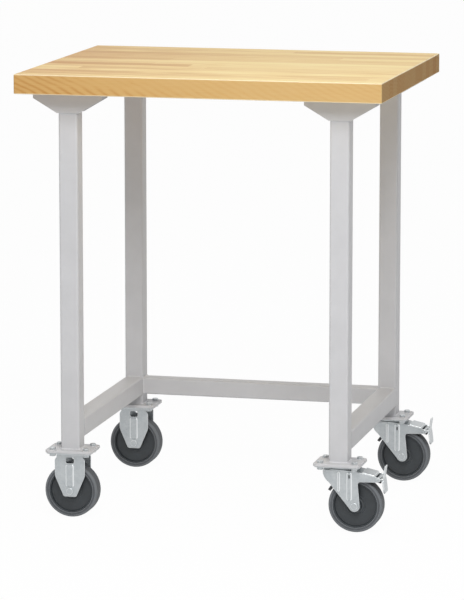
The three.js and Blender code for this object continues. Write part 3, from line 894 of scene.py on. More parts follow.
@dataclass(frozen=True, kw_only=True)
class GluedBeech(Finish):
    """Oiled beech, edge-glued from staves: each has its own tone, growth rings and small dark flecks."""

    deep: str
    # The colour of the painted shade on the panel's long edges.
    long_edge: str
    end_grain: str
    stave_mm: float = 44.0
    stave_length_mm: float = 1100.0
    ring_mm: float = 9.0
    wander_mm: tuple[float, float, float] = (420.0, 60.0, 60.0)
    # Fibres are finer than the render shows, so their streaks are drawn about 2 mm wide.
    fibre_mm: tuple[float, float, float] = (90.0, 2.0, 2.0)
    # The ray flecks that mark beech are 1 to 3 mm long; longer noise is cut down to its strongest points.
    fleck_mm: tuple[float, float, float] = (14.0, 2.2, 2.2)
    # Each stave's pith, in metres: how far its place across, its level and its slope range, and from where.
    pith_across: Point = (0.16, -0.06)
    pith_level: Point = (0.10, 0.86)
    pith_lean: Point = (0.16, -0.08)
    slant_slope: float = 0.42
    slant_pace: float = 0.75
    # The shares that each part of the pattern has in the tone.
    stave_tone: float = 0.42
    streak_tone: float = 0.46
    fibre_tone: float = 0.45
    fleck_tone: float = 0.10
    edge_share: float = 0.54
    end_share: float = 0.72

    def rings(
        self, graph: Graph, row: NodeSocket, own: Any, wander: NodeSocket, ahead: NodeSocket
    ) -> NodeSocket:
        """The growth rings: long lines on the top, slanting ones on the edges and arcs on the end grain.

        Args:
            graph: The material's nodes.
            row: The number of the stave's row.
            own: Three chances of the stave's own.
            wander: The noise that sways the rings.
            ahead: One on the panel's long edges, and nought elsewhere.

        Returns:
            The rings' darkness, from 0 to 1.
        """
        x, y, z = graph.split(graph.place)
        # The pith lies beside or below each stave and runs a little askew to it.
        stave_y = graph.sum("SUBTRACT", y, graph.sum("MULTIPLY", row, self.stave_mm * MM))
        pith_y = graph.sum("MULTIPLY_ADD", own["Red"], *self.pith_across)
        pith_z = graph.sum("MULTIPLY_ADD", own["Green"], *self.pith_level)
        askew = graph.sum("MULTIPLY_ADD", own["Blue"], *self.pith_lean)
        across = graph.sum("SUBTRACT", stave_y, pith_y)
        upward = graph.sum("ADD", graph.sum("SUBTRACT", z, pith_z), graph.sum("MULTIPLY", x, askew))
        squares = graph.sum("ADD", graph.sum("POWER", across, 2.0), graph.sum("POWER", upward, 2.0))
        # The outer staves are plain-sawn, so their long edges show the rings slanting through.
        rise = graph.sum("MULTIPLY_ADD", x, self.slant_slope, z)
        slanting = graph.sum("MULTIPLY", rise, self.slant_pace)
        course = graph.blend(ahead, graph.sum("SQRT", squares), slanting)
        sway = graph.sum("MULTIPLY_ADD", ahead, -0.006, 0.03)
        waved = graph.sum("MULTIPLY_ADD", wander, sway, course)
        wave = graph.sum("SINE", graph.sum("MULTIPLY", waved, math.tau * per_metre(self.ring_mm)))
        return graph.sum("MULTIPLY_ADD", wave, 0.5, 0.5)

    def paint(self, graph: Graph) -> tuple[NodeSocket, NodeSocket]:
        """Draws the staves, their grain, the darker end grain and painted shade on the long edges.

        Args:
            graph: The material's nodes.

        Returns:
            The colour, and the value that the gloss wanders with.
        """
        x, y, _ = graph.split(graph.place)
        facing = graph.split(add(graph.tree, "ShaderNodeNewGeometry").outputs["Normal"])
        ahead = graph.spread(graph.sum("ABSOLUTE", facing["Y"]), 0.6, 0.95)

        def chance(value: NodeSocket) -> Any:
            """Random values that belong to a number."""
            settings = {"noise_dimensions": "1D"}
            return add(graph.tree, "ShaderNodeTexWhiteNoise", settings, {"W": value}).outputs

        row = graph.sum("FLOOR", graph.sum("MULTIPLY", y, per_metre(self.stave_mm)))
        lengthways = graph.sum("MULTIPLY_ADD", x, per_metre(self.stave_length_mm), chance(row)["Value"])
        seed = graph.sum("MULTIPLY_ADD", graph.sum("FLOOR", lengthways), 7.31, row)
        own = add(graph.tree, "ShaderNodeSeparateColor", links={"Color": chance(seed)["Color"]}).outputs
        wander = graph.noise(self.wander_mm, detail=3.0, seed=seed)
        rings = self.rings(graph, row, own, wander, ahead)
        fibre = graph.noise(self.fibre_mm, detail=4.0, roughness=0.65, seed=seed)
        flecks = graph.spread(graph.noise(self.fleck_mm, detail=1.0), 0.66, 0.74)

        ringed = graph.sum("MULTIPLY", rings, graph.sum("MULTIPLY_ADD", ahead, -0.12, 0.16))
        tone = graph.sum("MULTIPLY_ADD", own["Green"], self.stave_tone, ringed)
        # The slanting rings are plain at the left end and fade towards the right.
        strength = graph.sum("MULTIPLY", graph.spread(wander, 0.38, 0.70), ahead)
        slant = graph.sum("MULTIPLY", strength, graph.spread(x, -0.40, 0.20, 1.0, 0.25))
        streaks = graph.sum("MULTIPLY", graph.sum("POWER", rings, 2.0), slant)
        tone = graph.sum("MULTIPLY_ADD", streaks, self.streak_tone, tone)
        # The panel is a little browner towards its left end.
        tone = graph.sum("ADD", tone, graph.spread(x, -0.42, 0.10, 0.26, 0.0))
        tone = graph.sum("MULTIPLY_ADD", fibre, self.fibre_tone, tone)
        tone = graph.sum("MULTIPLY_ADD", flecks, self.fleck_tone, tone)
        timber = graph.shades(tone, (0.15, self.colour), (0.55, self.dark), (0.95, self.deep))

        # Painted shade darkens the long edges. Cut across, the fibres drink more oil, so the end grain is
        # darker.
        timber = graph.tint(graph.sum("MULTIPLY", ahead, self.edge_share), timber, self.long_edge)
        cut = graph.spread(graph.sum("ABSOLUTE", facing["X"]), 0.6, 0.95, 0.0, self.end_share)
        # Open pores leave the end grain matt as well.
        graph.feed("Specular IOR Level", graph.spread(cut, 0.0, self.end_share, 0.36, 0.02))
        graph.relief(graph.sum("MULTIPLY_ADD", rings, 0.4, fibre), strength=0.35, depth=0.12)
        return graph.tint(cut, timber, self.end_grain), fibre


# Powder coat over steel: a soft satin skin with orange peel, which is finer than it is drawn here.
# Its edge colour is a painted highlight on rounded edges.
POWDER_COAT = Mottled(
    name="light_grey_powder_coat", slot=Slot.GREY_PAINT, colour="#CFCFD1", dark="#C8C8CA", edge="#D9D9DB",
    roughness=0.46, spread=0.05, mottle_mm=60.0, grit_mm=3.0, grit_depth=0.05,
)
# Moulded thermoplastic rubber: matt, with a bloom that lightens it in patches.
# Its edge colour is a painted highlight along its bead and round shoulders.
GREY_RUBBER = Mottled(
    name="grey_rubber", slot=Slot.TYRE_RUBBER, colour="#585B5F", dark="#4B4E52", edge="#808488",
    roughness=0.66, spread=0.08, mottle_mm=16.0, grit_mm=1.5, grit_depth=0.08,
)
# Moulded polypropylene: darker and a little glossier than the tread.
# Its edge colour is a painted highlight on rounded edges.
MOULDED_PLASTIC = Mottled(
    name="dark_grey_polypropylene", slot=Slot.RIM_PLASTIC, colour="#383D41", dark="#2F3336", edge="#474C50",
    roughness=0.45, spread=0.06, ior=1.49, mottle_mm=22.0, grit_mm=2.0, grit_depth=0.04,
)
# Black coated spring steel: near black with a low sheen.
# Its edge colour is a painted highlight on rounded edges.
BLACK_STEEL = Mottled(
    name="black_coated_steel", slot=Slot.BLACK_STEEL, colour="#26282A", dark="#191A1C", edge="#333538",
    roughness=0.42, spread=0.08, mottle_mm=12.0, grit_mm=1.2, grit_depth=0.03,
)
# Bright zinc; its edge colour is a painted highlight on rounded edges and rib shoulders.
ZINC_PLATE = PlatedSteel(
    name="bright_zinc_plate", slot=Slot.ZINC, colour="#C4C8CA", dark="#AEB4B7", edge="#F0F3F4",
    roughness=0.30, spread=0.05, metallic=0.6,
)
# Its edge colour is a painted highlight on the panel's rounded edges.
OILED_BEECH = GluedBeech(
    name="oiled_glued_beech", slot=Slot.BEECH, colour="#F7E3A6", dark="#EACA87", edge="#FFF3D2",
    deep="#C48F4E", long_edge="#B07636", end_grain="#9C6A38", roughness=0.46, spread=0.08, ior=1.42,
)


class Paintbox:
    """Makes each finish once and dresses pieces in it."""

    def __init__(self) -> None:
        """Starts with no material made."""
        self.made: dict[str, Material] = {}

    def dress(self, obj: Object, finish: Finish) -> None:
        """Gives a piece its only material, which is made on first use.

        Args:
            obj: The piece.
            finish: Its finish.
        """
        if finish.name not in self.made:
            self.made[finish.name] = finish.build()
        obj.data.materials.clear()
        obj.data.materials.append(self.made[finish.name])

    def place(self, obj: Object, finish: Finish, body: str, *nodes: str) -> None:
        """Finishes a piece: paints a highlight on its narrow rounded edges, shades and dresses it, and ties
        it to the frame.

        Args:
            obj: The piece.
            finish: Its finish.
            body: The body that it moves with.
            nodes: The CAD nodes that it stands for.
        """
        # Painted highlight on the narrow faces of every rounded edge.
        mark_polished(obj, narrow_edge)
        smooth(obj)
        self.dress(obj, finish)
        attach(obj, body)
        if nodes:
            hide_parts(*nodes)
        LOG.info("%s: %d faces", obj.name, len(obj.data.polygons))

    def repeat(
        self, pattern: Object, corners: Sequence[Corner], finish: Finish, name: str, body: str, *nodes: str,
        home: Vector = CENTRE,
    ) -> None:
        """Copies a pattern to corners and finishes the copies. In each text, {} is the corner's name.

        Args:
            pattern: The piece that was modelled once.
            corners: The corners.
            finish: The copies' finish.
            name: Their name.
            body: The body that they move with.
            nodes: The CAD nodes that they stand for.
            home: Where the pattern lies, measured as the corners' places are.
        """
        for corner in corners:
            piece = copied(pattern, name.format(corner.label), corner.place - home)
            self.place(piece, finish, *(text.format(corner.label) for text in (body, *nodes)))


# Sub-assemblies


@dataclass
class Worktop:
    """The glued panel, with soft corners and broken edges."""

    corner_radius: float = 3.0
    edge: float = 2.0

    def build(self, paint: Paintbox) -> None:
        """Models the panel.

        Args:
            paint: The finishes.
        """
        low, high = box_of("table_top")
        panel = block("worktop", low, high)
        round_long_edges(panel, Axis.Z, self.corner_radius, 5)
        for level in (low.z, high.z):
            round_rim(panel, Axis.Z, level, self.edge, 4)
        merge_points(panel)
        paint.place(panel, OILED_BEECH, "table", "table_top")


@dataclass
class WeldedFrame:
    """Legs, stretchers and the weld seams between them."""

    leg_radius: float = 5.0
    rail_radius: float = 4.0
    weld: float = 2.4

    def tube(self, name: str, node: str, axis: Axis, radius: float) -> Object:
        """A tube's outside, from the box of its node.

        Args:
            name: The piece's name.
            node: The CAD node.
            axis: The tube's direction.
            radius: The radius of its long edges.

        Returns:
            The tube.
        """
        piece = block(name, *box_of(node))
        round_long_edges(piece, axis, radius, 6)
        merge_points(piece)
        return piece

    def seam(
        self, name: str, side: float, radius: float, axis: Axis, face: float, way: int, middle: Point,
        flush: bool = False,
    ) -> Object:
        """A weld seam round a tube's end, flat on the face that it is welded to.

        Args:
            name: The piece's name.
            side: The tube's side.
            radius: The radius of its long edges.
            axis: The tube's direction.
            face: Where the face lies along the axis.
            way: 1 or -1, the side of the face that the tube is on.
            middle: The tube's middle across the axis.
            flush: Whether it stays level with the tube's upright sides, as where both tubes are as wide.

        Returns:
            The seam.
        """
        tall, crest = side + 2 * self.weld, face + way * self.weld
        wide = side - 2 * radius if flush else tall
        outline = rounded(wide, tall, self.weld if flush else radius + self.weld, middle)
        ring = slab(name, outline, axis, face, crest)
        round_rim(ring, axis, crest, self.weld * 0.9, 5)
        hole = slab("seam_hole", rounded(side, side, radius, middle), axis, face - way, crest + way)
        combine(ring, hole, "DIFFERENCE")
        return ring

    def build(self, paint: Paintbox) -> None:
        """Models the frame.

        Args:
            paint: The finishes.
        """
        home = Corner.FRONT_LEFT.place
        leg = self.tube("leg_pattern", "leg_front_left", Axis.Z, self.leg_radius)
        low, high = box_of("leg_front_left")
        seam = self.seam(
            "seam_pattern", high.x - low.x, self.leg_radius, Axis.Z, low.z, 1, (home.x, home.y)
        )
        paint.repeat(leg, CORNERS, POWDER_COAT, "tube_leg_{}", "table", "leg_{}", home=home)
        paint.repeat(seam, CORNERS, POWDER_COAT, "seam_foot_{}", "table", home=home)
        drop(leg, seam)
        for node, axis, radius, seams, flush in (
            ("side_stretcher_left", Axis.Y, self.leg_radius, ("seam_left_front", "seam_left_rear"), True),
            ("side_stretcher_right", Axis.Y, self.leg_radius, ("seam_right_front", "seam_right_rear"), True),
            ("rear_stretcher", Axis.X, self.rail_radius, ("seam_rear_left", "seam_rear_right"), False),
        ):
            rail = self.tube(f"tube_{node}", node, axis, radius)
            paint.place(rail, POWDER_COAT, "table", node)
            low, high = box_of(node)
            middle = tuple((low[i] + high[i]) / 2 for i in range(3) if i != axis.value)
            for name, end, way in zip(seams, (low, high), (1, -1)):
                face = end[axis.value]
                weld = self.seam(name, high.z - low.z, radius, axis, face, way, middle, flush)
                paint.place(weld, POWDER_COAT, "table")


@dataclass
class HeadBracket:
    """A folded channel under the worktop, with tapered cheeks, and the screws through its web."""

    sheet: float = 2.5
    length: float = 163.0
    rim: float = 15.0
    height: float = 48.0
    inner: float = 22.8
    bend: float = 4.0
    top: float = 990.0
    ease: float = 0.6
    screw_x: float = 56.0
    screw_y: float = 11.0
    screw_radius: float = 5.0
    screw_head: float = 3.0
    screw_dome: float = 1.9
    recess: Point = (5.2, 1.2)
    recess_depth: float = 1.4

    def channel(self) -> Object:
        """The folded sheet.

        Returns:
            The channel about the leg's middle.
        """
        outer, bottom, half = self.inner + self.sheet, self.top - self.height, self.length / 2
        rim = self.top - self.rim
        section = folded(self.inner, self.sheet, self.bend, bottom, self.top - self.sheet, self.top, 6)
        cheek = [(-outer, bottom), (outer, bottom), (half, rim), (half, self.top)]
        cheek += [(-half, self.top), (-half, rim)]
        channel = slab("bracket_pattern", section, Axis.X, -half, half)
        combine(channel, slab("cheek", cheek, Axis.Y, -outer - 1, outer + 1), "INTERSECT")
        ease_edges(channel, self.ease)
        return channel

    def screws(self) -> Object:
        """Four pan-head wood screws with cross recesses, under the web.

        Returns:
            The screws' heads in one piece.
        """
        web = self.top - self.sheet
        face = web - self.screw_head
        heads = []
        for place in ((x, y) for x in (-self.screw_x, self.screw_x) for y in (-self.screw_y, self.screw_y)):
            head = slab("screw", circle(place, self.screw_radius, 32), Axis.Z, face, web + 0.2)
            round_rim(head, Axis.Z, face, self.screw_dome, 4)
            for wide, deep in (self.recess, self.recess[::-1]):
                cross = rounded(wide, deep, 0.3, place, 2)
                combine(head, slab("recess", cross, Axis.Z, face - 1, face + self.recess_depth), "DIFFERENCE")
            heads.append(head)
        return join("screws_pattern", heads)

    def build(self, paint: Paintbox) -> None:
        """Models one bracket and copies it to each leg.

        Args:
            paint: The finishes.
        """
        channel, screws = self.channel(), self.screws()
        paint.repeat(channel, CORNERS, POWDER_COAT, "folded_bracket_{}", "table", "head_bracket_{}")
        paint.repeat(screws, CORNERS, ZINC_PLATE, "bracket_screws_{}", "table")
        drop(channel, screws)


@dataclass
class Footing:
    """The plate under a leg, and the bolts that hold its castor."""

    length: float = 110.0
    width: float = 90.0
    radius: float = 10.0
    bottom: float = 155.0
    top: float = 161.0
    edge: float = 1.0
    bolt_x: float = 40.0
    bolt_y: float = 30.0
    across_flats: float = 13.0
    head: float = 5.3
    nut_bottom: float = 145.5
    nut_top: float = 152.0
    shank: float = 4.0

    def hexagon(self, name: str, seat: float, crown: float) -> Object:
        """A hexagon whose corners are turned down at one end.

        Args:
            name: The solid's name.
            seat: The level of its flat end.
            crown: The level of its turned end.

        Returns:
            The hexagon.
        """
        corner, start = self.across_flats / math.sqrt(3), self.across_flats / 2 - 0.2
        over = math.copysign(0.5, crown - seat)
        outline = [(y, x) for x, y in circle((0.0, 0.0), corner, 6)]
        prism = slab(name, outline, Axis.Z, seat, crown + over)
        base = seat - 2 * over
        cone = slab("crown_cone", circle((0.0, 0.0), start, 48), Axis.Z, base, crown)
        # The corners are turned down at 30 degrees, so the cone widens by the root of three for its depth.
        wider = 1 + abs(crown - base) * math.sqrt(3) / start
        for vertex in cone.data.vertices:
            if abs(vertex.co.z / MM - base) < SLACK:
                vertex.co.x, vertex.co.y = vertex.co.x * wider, vertex.co.y * wider
        combine(prism, cone, "INTERSECT")
        ease_edges(prism, 0.25, 2, 25.0)
        return prism

    def bolt(self) -> Object:
        """A hexagon bolt with its nut.

        Returns:
            The bolt about its own axis.
        """
        head = self.hexagon("bolt_head", self.top, self.top + self.head)
        nut = self.hexagon("bolt_nut", self.nut_top, self.nut_bottom)
        shank = rod("bolt_shank", self.shank, Axis.Z, self.nut_bottom - 0.2, self.top + 0.3, (0, 0), 0.6)
        return join("bolt_pattern", [head, nut, shank])

    def build(self, paint: Paintbox) -> None:
        """Models one plate and one bolt and copies them to each leg.

        Args:
            paint: The finishes.
        """
        outline = rounded(self.length, self.width, self.radius, steps=10)
        plate = slab("foot_pattern", outline, Axis.Z, self.bottom, self.top)
        round_rim(plate, Axis.Z, self.top, self.edge, 3)
        paint.repeat(plate, CORNERS, POWDER_COAT, "bolted_foot_{}", "table", "foot_plate_{}")
        bolt = self.bolt()
        for number, (sx, sy) in enumerate(((-1, -1), (1, -1), (-1, 1), (1, 1)), 1):
            name, node = f"hex_bolt_{{}}_{number}", f"castor_bolt_{{}}_{number}"
            home = Vector((-sx * self.bolt_x, -sy * self.bolt_y, 0.0))
            paint.repeat(bolt, CORNERS, ZINC_PLATE, name, "table", node, home=home)
        drop(plate, bolt)


@dataclass
class CastorWheel:
    """A tread on a moulded centre, with its axle."""

    diameter: float = 125.0
    width: float = 38.0
    tread: float = 11.5
    shoulder: float = 5.0
    lip: float = 1.5
    bead: float = 0.8
    bead_sink: float = 0.5
    flange: float = 2.0
    web: float = 22.0
    hub: float = 29.0
    hub_half: float = 24.2
    ridge: float = 0.9
    bore: float = 5.3
    axle: HeadedPin = HeadedPin(
        radius=5.0, ease=0.4, head_radius=8.0, head_height=2.5, head_ease=1.1, sunk=1.0
    )

    def tyre(self, middle: Vector) -> Object:
        """The tread, with round shoulders and a moulded bead round each side.

        Args:
            middle: The wheel's middle.

        Returns:
            The tread.
        """
        outer, half = self.diameter / 2, self.width / 2
        inner, sunk = outer - self.tread, half - self.bead_sink
        side = [(outer, 0.0), (outer, half - self.shoulder)]
        side += arc((outer - self.shoulder, half - self.shoulder), self.shoulder, 0, 90, 8)[1:]
        side += [(inner + 2.6, sunk), *arc((inner + 1.5, sunk), self.bead, 0, 180, 6)]
        side.append((inner, half - self.lip))
        return turned("tyre_pattern", both_sides(side), Axis.Y, middle, 128)

    def centre(self, middle: Vector) -> Object:
        """The moulded centre: a flange, a dished web with a ridge, and the hub.

        Args:
            middle: The wheel's middle.

        Returns:
            The centre.
        """
        bed = self.diameter / 2 - self.tread - 0.3
        edge, top = bed - self.flange, self.width / 2 - self.lip
        web, hub, raised = self.web / 2, self.hub / 2, self.web / 2 + self.ridge
        side = [(bed, 0.0), (bed, top - 0.4), (bed - 0.4, top), (edge + 0.6, top), (edge, top - 0.6)]
        side += [(edge - 1.0, web + 1.6), (edge - 1.6, web + 0.5), (edge - 2.8, web)]
        side += [(hub + 9.0, web), (hub + 8.2, raised), (hub + 6.6, raised), (hub + 5.8, web)]
        side += [(hub + 3.4, web), (hub + 1.2, raised), (hub + 0.2, web + 3.4)]
        side += [(hub, self.hub_half - 1.0), (hub - 1.0, self.hub_half), (self.bore, self.hub_half)]
        return turned("centre_pattern", both_sides(side), Axis.Y, middle, 96)

    def build(self, paint: Paintbox, corners: Sequence[Corner], x: float, axle_body: str) -> None:
        """Models one wheel and copies it to corners.

        Args:
            paint: The finishes.
            corners: The corners.
            x: The axle's place from the castor's centre.
            axle_body: The body that the axle is fixed in, with {} for the corner's name.
        """
        middle = Vector((x, 0.0, self.diameter / 2))
        tyre, centre = self.tyre(middle), self.centre(middle)
        axle = self.axle.solid("axle_pattern", (middle.x, middle.z))
        paint.repeat(tyre, corners, GREY_RUBBER, "tread_{}", "wheel_{}", "wheel_tyre_{}")
        paint.repeat(centre, corners, MOULDED_PLASTIC, "centre_{}", "wheel_{}", "wheel_rim_{}")
        paint.repeat(axle, corners, ZINC_PLATE, "headed_axle_{}", axle_body, "axle_{}")
        drop(tyre, centre, axle)


@dataclass
class CastorPlate:
    """The bolted plate at the top of a castor."""

    length: float = 105.0
    width: float = 85.0
    radius: float = 8.0
    bottom: float = 152.0
    top: float = 155.0
    edge: float = 0.5

    def solid(self) -> Object:
        """The plate about the castor's centre.

        Returns:
            The plate.
        """
        outline = rounded(self.length, self.width, self.radius)
        plate = slab("castor_plate", outline, Axis.Z, self.bottom, self.top)
        ease_edges(plate, self.edge, 2, 60.0)
        return plate


@dataclass
class Fork:
    """What both kinds of fork share: two sheet arms beside the wheel, under a bolted plate."""

    sheet: float = 3.0
    gap: float = 49.0
    axle: float = 62.5

    @property
    def outer(self) -> float:
        """Where the arms' outer faces lie across the castor."""
        return self.gap / 2 + self.sheet

    def pierce(self, obj: Object, outline: Sequence[Point]) -> None:
        """Cuts an opening, outlined as seen from the side, through both arms or a rib on one of them."""
        beyond = self.outer + 5.0
        combine(obj, slab("opening", outline, Axis.Y, -beyond, beyond), "DIFFERENCE")


@dataclass
class FixedFork(Fork):
    """The fixed castor's fork: a plate with two pressed arms, each with a broad rib and a window."""

    top_width: float = 63.0
    arm_width: float = 72.0
    foot_width: float = 30.0
    neck: float = 11.0
    shoulder: float = 5.0
    shoulder_ease: float = 3.0
    shoulder_cut: Point = (2.4, 2.8)
    taper: float = 36.0
    taper_ease: float = 6.0
    below: float = 12.5
    corner: float = 4.0
    bend: float = 5.0
    border: float = 2.0
    ease: float = 0.7
    weld_depth: float = 1.5
    rib: Rib = Rib(width=22.0, bottom=72.0, top=127.0, middle=0.0)
    window_width: float = 20.0
    window_height: float = 14.0
    window_start: float = 128.5

    def arm(self, top: float) -> list[Point]:
        """An arm's outline, seen from the side.

        Args:
            top: The arm's upper end.

        Returns:
            The outline.
        """
        foot, taper = self.axle - self.below, self.axle + self.taper
        half, foot_half, top_half = self.arm_width / 2, self.foot_width / 2, self.top_width / 2
        neck = top - self.neck
        turn = neck - self.shoulder
        start = along((foot_half, foot), (half, taper), self.corner)
        side = bow((foot_half - self.corner, foot), (foot_half, foot), start, 6)
        ease = along((half, taper), (foot_half, foot), self.taper_ease)
        side += bow(ease, (half, taper), (half, taper + self.taper_ease), 5)
        cut = (half - self.shoulder_cut[0], turn + self.shoulder_cut[1])
        side += bow((half, turn - self.shoulder_ease), (half, turn), cut, 4)
        side += [(top_half, neck), (top_half, top)]
        return side + [(-x, z) for x, z in reversed(side)]

    def turn_back(self, arms: Object, top: float) -> None:
        """Turns the arms' borders back, as the press leaves them.

        Args:
            arms: The folded arms.
            top: The arms' upper end.
        """
        beside, sill, fold = self.window_width / 2 + 0.1, self.window_start - 0.1, top - self.bend - 0.1

        def on_border(*ends: Vector) -> bool:
            """Whether an edge is on an outer face's border, and not on the window or the fold."""
            level = all(abs(abs(p.y) - self.outer) < SLACK for p in ends)
            at_window = all(abs(p.x) < beside and p.z > sill for p in ends)
            return level and not at_window and not all(p.z > fold for p in ends)

        bevel_where(arms, on_border, self.border, 5, clamp=True)

    def build(self, paint: Paintbox) -> None:
        """Models one fork and copies it to the fixed corners.

        Args:
            paint: The finishes.
        """
        plate = CastorPlate()
        top, half, beyond = plate.top - self.weld_depth, self.arm_width / 2, self.outer + 1
        under, foot = plate.bottom - self.sheet, self.axle - self.below
        section = folded(self.gap / 2, self.sheet, self.bend, foot, under, top, 8)
        arms = slab("fixed_arms", section, Axis.X, -half, half)
        combine(arms, slab("arm_outline", self.arm(top), Axis.Y, -beyond, beyond), "INTERSECT")
        middle = (0.0, self.window_start + self.window_height / 2)
        self.pierce(arms, rounded(self.window_width, self.window_height, self.corner, middle, 6))
        merge_points(arms, SLIVER)
        self.turn_back(arms, top)
        ease_edges(arms, self.ease, 3, 45.0)
        fork = join("fixed_fork_pattern", [plate.solid(), arms, *self.rib.pair(self.outer)])
        paint.repeat(fork, FIXED_CORNERS, ZINC_PLATE, "pressed_fork_{}", "table", "fixed_fork_{}")
        drop(fork)


@dataclass
class SwivelCastor(Fork):
    """The swivel castor above its wheel: plate, race, fork, brake pedal, its pin, and the brake strip."""

    trail: float = 39.0
    crown: float = 145.0
    crown_bend: float = 3.5
    nose: float = 37.0
    nose_radius: float = 14.0
    nose_lip: float = 7.0
    throat: Point = (-21.0, 116.0)
    throat_pull: Point = (-33.0, 125.0)
    eye: float = 12.5
    armpit: Point = (46.3, 119.0)
    armpit_radius: float = 7.0
    shoulder: float = 40.0
    wing_root: Point = (47.0, 142.0)
    wing_sheet_end: float = 87.5
    lug: float = 5.5
    sliver: float = 0.3
    ease: float = 0.8
    roof_strap: Point = (11.0, 38.5)
    slot: Point = (27.0, 131.0)
    slot_width: float = 3.0
    slot_height: float = 9.0
    slot_radius: float = 1.4
    narrow_rib: Rib = Rib(width=8.6, bottom=94.0, top=143.0, middle=2.4)
    wide_rib: Rib = Rib(width=15.0, bottom=74.0, top=143.0, middle=27.0)
    race_inner: float = 19.0
    race_outer: float = 31.0
    race_gap: float = 0.3
    cup: float = 4.5
    cup_bend: float = 3.0
    pivot: Point = (93.5, 126.0)
    pin: HeadedPin = HeadedPin(
        radius=2.5, ease=0.3, head_radius=4.0, head_height=1.5, head_ease=0.6, sunk=0.5
    )
    knuckle: float = 5.0
    knuckle_gap: float = 0.3
    pedal_sheet: float = 3.0
    pedal_edge: float = 1.1
    pedal_neck: Point = (9.0, 0.0)
    finger: Point = (13.0, 28.0)
    finger_width: float = 22.0
    tongue: Point = (13.0, -32.0)
    tongue_width: float = 40.0
    tongue_corner: float = 13.0
    cam: Point = (4.5, -4.5)
    cam_radius: float = 3.0
    cam_width: float = 20.0

    def from_pivot(self, step: Point) -> Point:
        """A place that is measured from the pedal's pivot."""
        return (self.pivot[0] + step[0], self.pivot[1] + step[1])

    def side_outline(self) -> list[Point]:
        """The fork's side: nose, slanted leading edge, axle eye, trailing arm and lug.

        Returns:
            The outline.
        """
        eye = (self.trail, self.axle)
        lead = tangent(self.throat, eye, self.eye, 1)
        rear = tangent(self.armpit, eye, self.eye, -1)
        under = tangent(self.armpit, self.pivot, self.lug, 1)
        over = tangent(self.wing_root, self.pivot, self.lug, -1)
        eye_arc = arc(eye, self.eye, lead, rear + (360 if rear < lead else 0), 24)
        lug_arc = arc(self.pivot, self.lug, under, over + (360 if over < under else 0), 14)
        before, after = (along(self.armpit, end, self.armpit_radius) for end in (eye_arc[-1], lug_arc[0]))
        lip = self.crown - self.nose_lip
        outline = [(-self.nose - 1, self.crown), (-self.nose - 1, lip)]
        outline += bow((-self.nose, lip), self.throat_pull, self.throat, 6) + eye_arc
        outline += bow(before, self.armpit, after, 8) + lug_arc
        return outline + [self.wing_root, (self.shoulder, self.crown)]

    def plan(self, inset: float) -> list[Point]:
        """The fork's plan: two parallel arms that run into a round nose.

        Args:
            inset: How far inside the outer faces it is drawn.

        Returns:
            The outline.
        """
        half, radius = self.outer - inset, self.nose_radius - inset
        end, turn = self.pivot[0] + 3 * self.lug, -self.nose + inset + radius
        outline = [(end, -half), (end, half), *arc((turn, half - radius), radius, 90, 180, 12)]
        return outline + arc((turn, -half + radius), radius, 180, 270, 12)

    def space(self, roof: Point) -> Object:
        """The space between the arms and under the crown.

        Args:
            roof: Where the trailing arm's roof ends.

        Returns:
            The space as a solid.
        """
        beyond, front, above = self.pivot[0] + 2 * self.lug, -self.nose - self.sheet, self.crown + 10
        root, under = (self.wing_root[0], self.wing_root[1] - self.sheet), self.crown - self.sheet
        outline = [
            (front, 0.0), (beyond, 0.0), (beyond, above), (roof[0], above), (roof[0], roof[1] - self.sheet),
            root, (self.shoulder, under), (front, under),
        ]
        space = slab("fork_space", outline, Axis.Y, -self.gap / 2, self.gap / 2)
        plan = slab("plan_inside", self.plan(self.sheet), Axis.Z, -5.0, self.crown + 15)
        combine(space, plan, "INTERSECT")
        return space

    def fork(self) -> Object:
        """The pressed fork.

        Returns:
            The fork about the castor's centre.
        """
        over = tangent(self.wing_root, self.pivot, self.lug, -1)
        touch = arc(self.pivot, self.lug, over, over, 1)[0]
        roof = along(self.wing_root, touch, self.wing_sheet_end - self.wing_root[0])
        shell = slab("swivel_shell", self.side_outline(), Axis.Y, -self.outer, self.outer)
        combine(shell, slab("plan_outside", self.plan(0.0), Axis.Z, 0.0, self.crown + 5), "INTERSECT")
        combine(shell, self.space(roof), "DIFFERENCE")
        slot = rounded(self.slot_width, self.slot_height, self.slot_radius, self.slot, 5)
        self.pierce(shell, slot)
        merge_points(shell, self.sliver)
        round_rim(shell, Axis.Z, self.crown, self.crown_bend, 6)
        ease_edges(shell, self.ease, 3, 45.0)
        raised = self.pedal_sheet / 2 - 0.2
        ends = [along(self.wing_root, touch, way) for way in self.roof_strap]
        strap = self.strap("roof_strap", *((x, z + raised) for x, z in ends), 2 * self.outer + 1.0)
        narrow, wide = self.narrow_rib.pair(self.outer), self.wide_rib.pair(self.outer)
        for rib in wide:
            self.pierce(rib, slot)
        return join("swivel_fork_pattern", [shell, strap, *narrow, *wide])

    def plate(self) -> Object:
        """The bolted plate with its pressed ball cup.

        Returns:
            The plate about the castor's centre.
        """
        base, inner, outer, bend = CastorPlate(), self.race_inner, self.race_outer, self.cup_bend
        level, low = base.bottom, base.bottom - self.cup
        ring = [(inner, level + 1.5), (inner, low + 1), (inner + 1, low)]
        ring += arc((outer - bend, low + bend), bend, 270, 360, 6)
        ring += [(outer, level - 1), (outer + 1, level + 0.2), (outer, level + 1.5)]
        return join("swivel_plate_pattern", [base.solid(), turned("cup", ring, Axis.Z, CENTRE, 72)])

    def race(self) -> Object:
        """The ball race: a rolled ring between the cup and the fork's crown.

        Returns:
            The race about the castor's centre.
        """
        low, high = self.crown + self.race_gap, CastorPlate().bottom - self.cup - self.race_gap
        edge, middle, half = self.race_outer + 2, (low + high) / 2, (high - low) / 2
        ring = [(self.race_inner, high), (self.race_inner, low)]
        ring += arc((edge - half, middle), half, -90, 90, 8)
        return turned("race_pattern", ring, Axis.Z, CENTRE, 72)

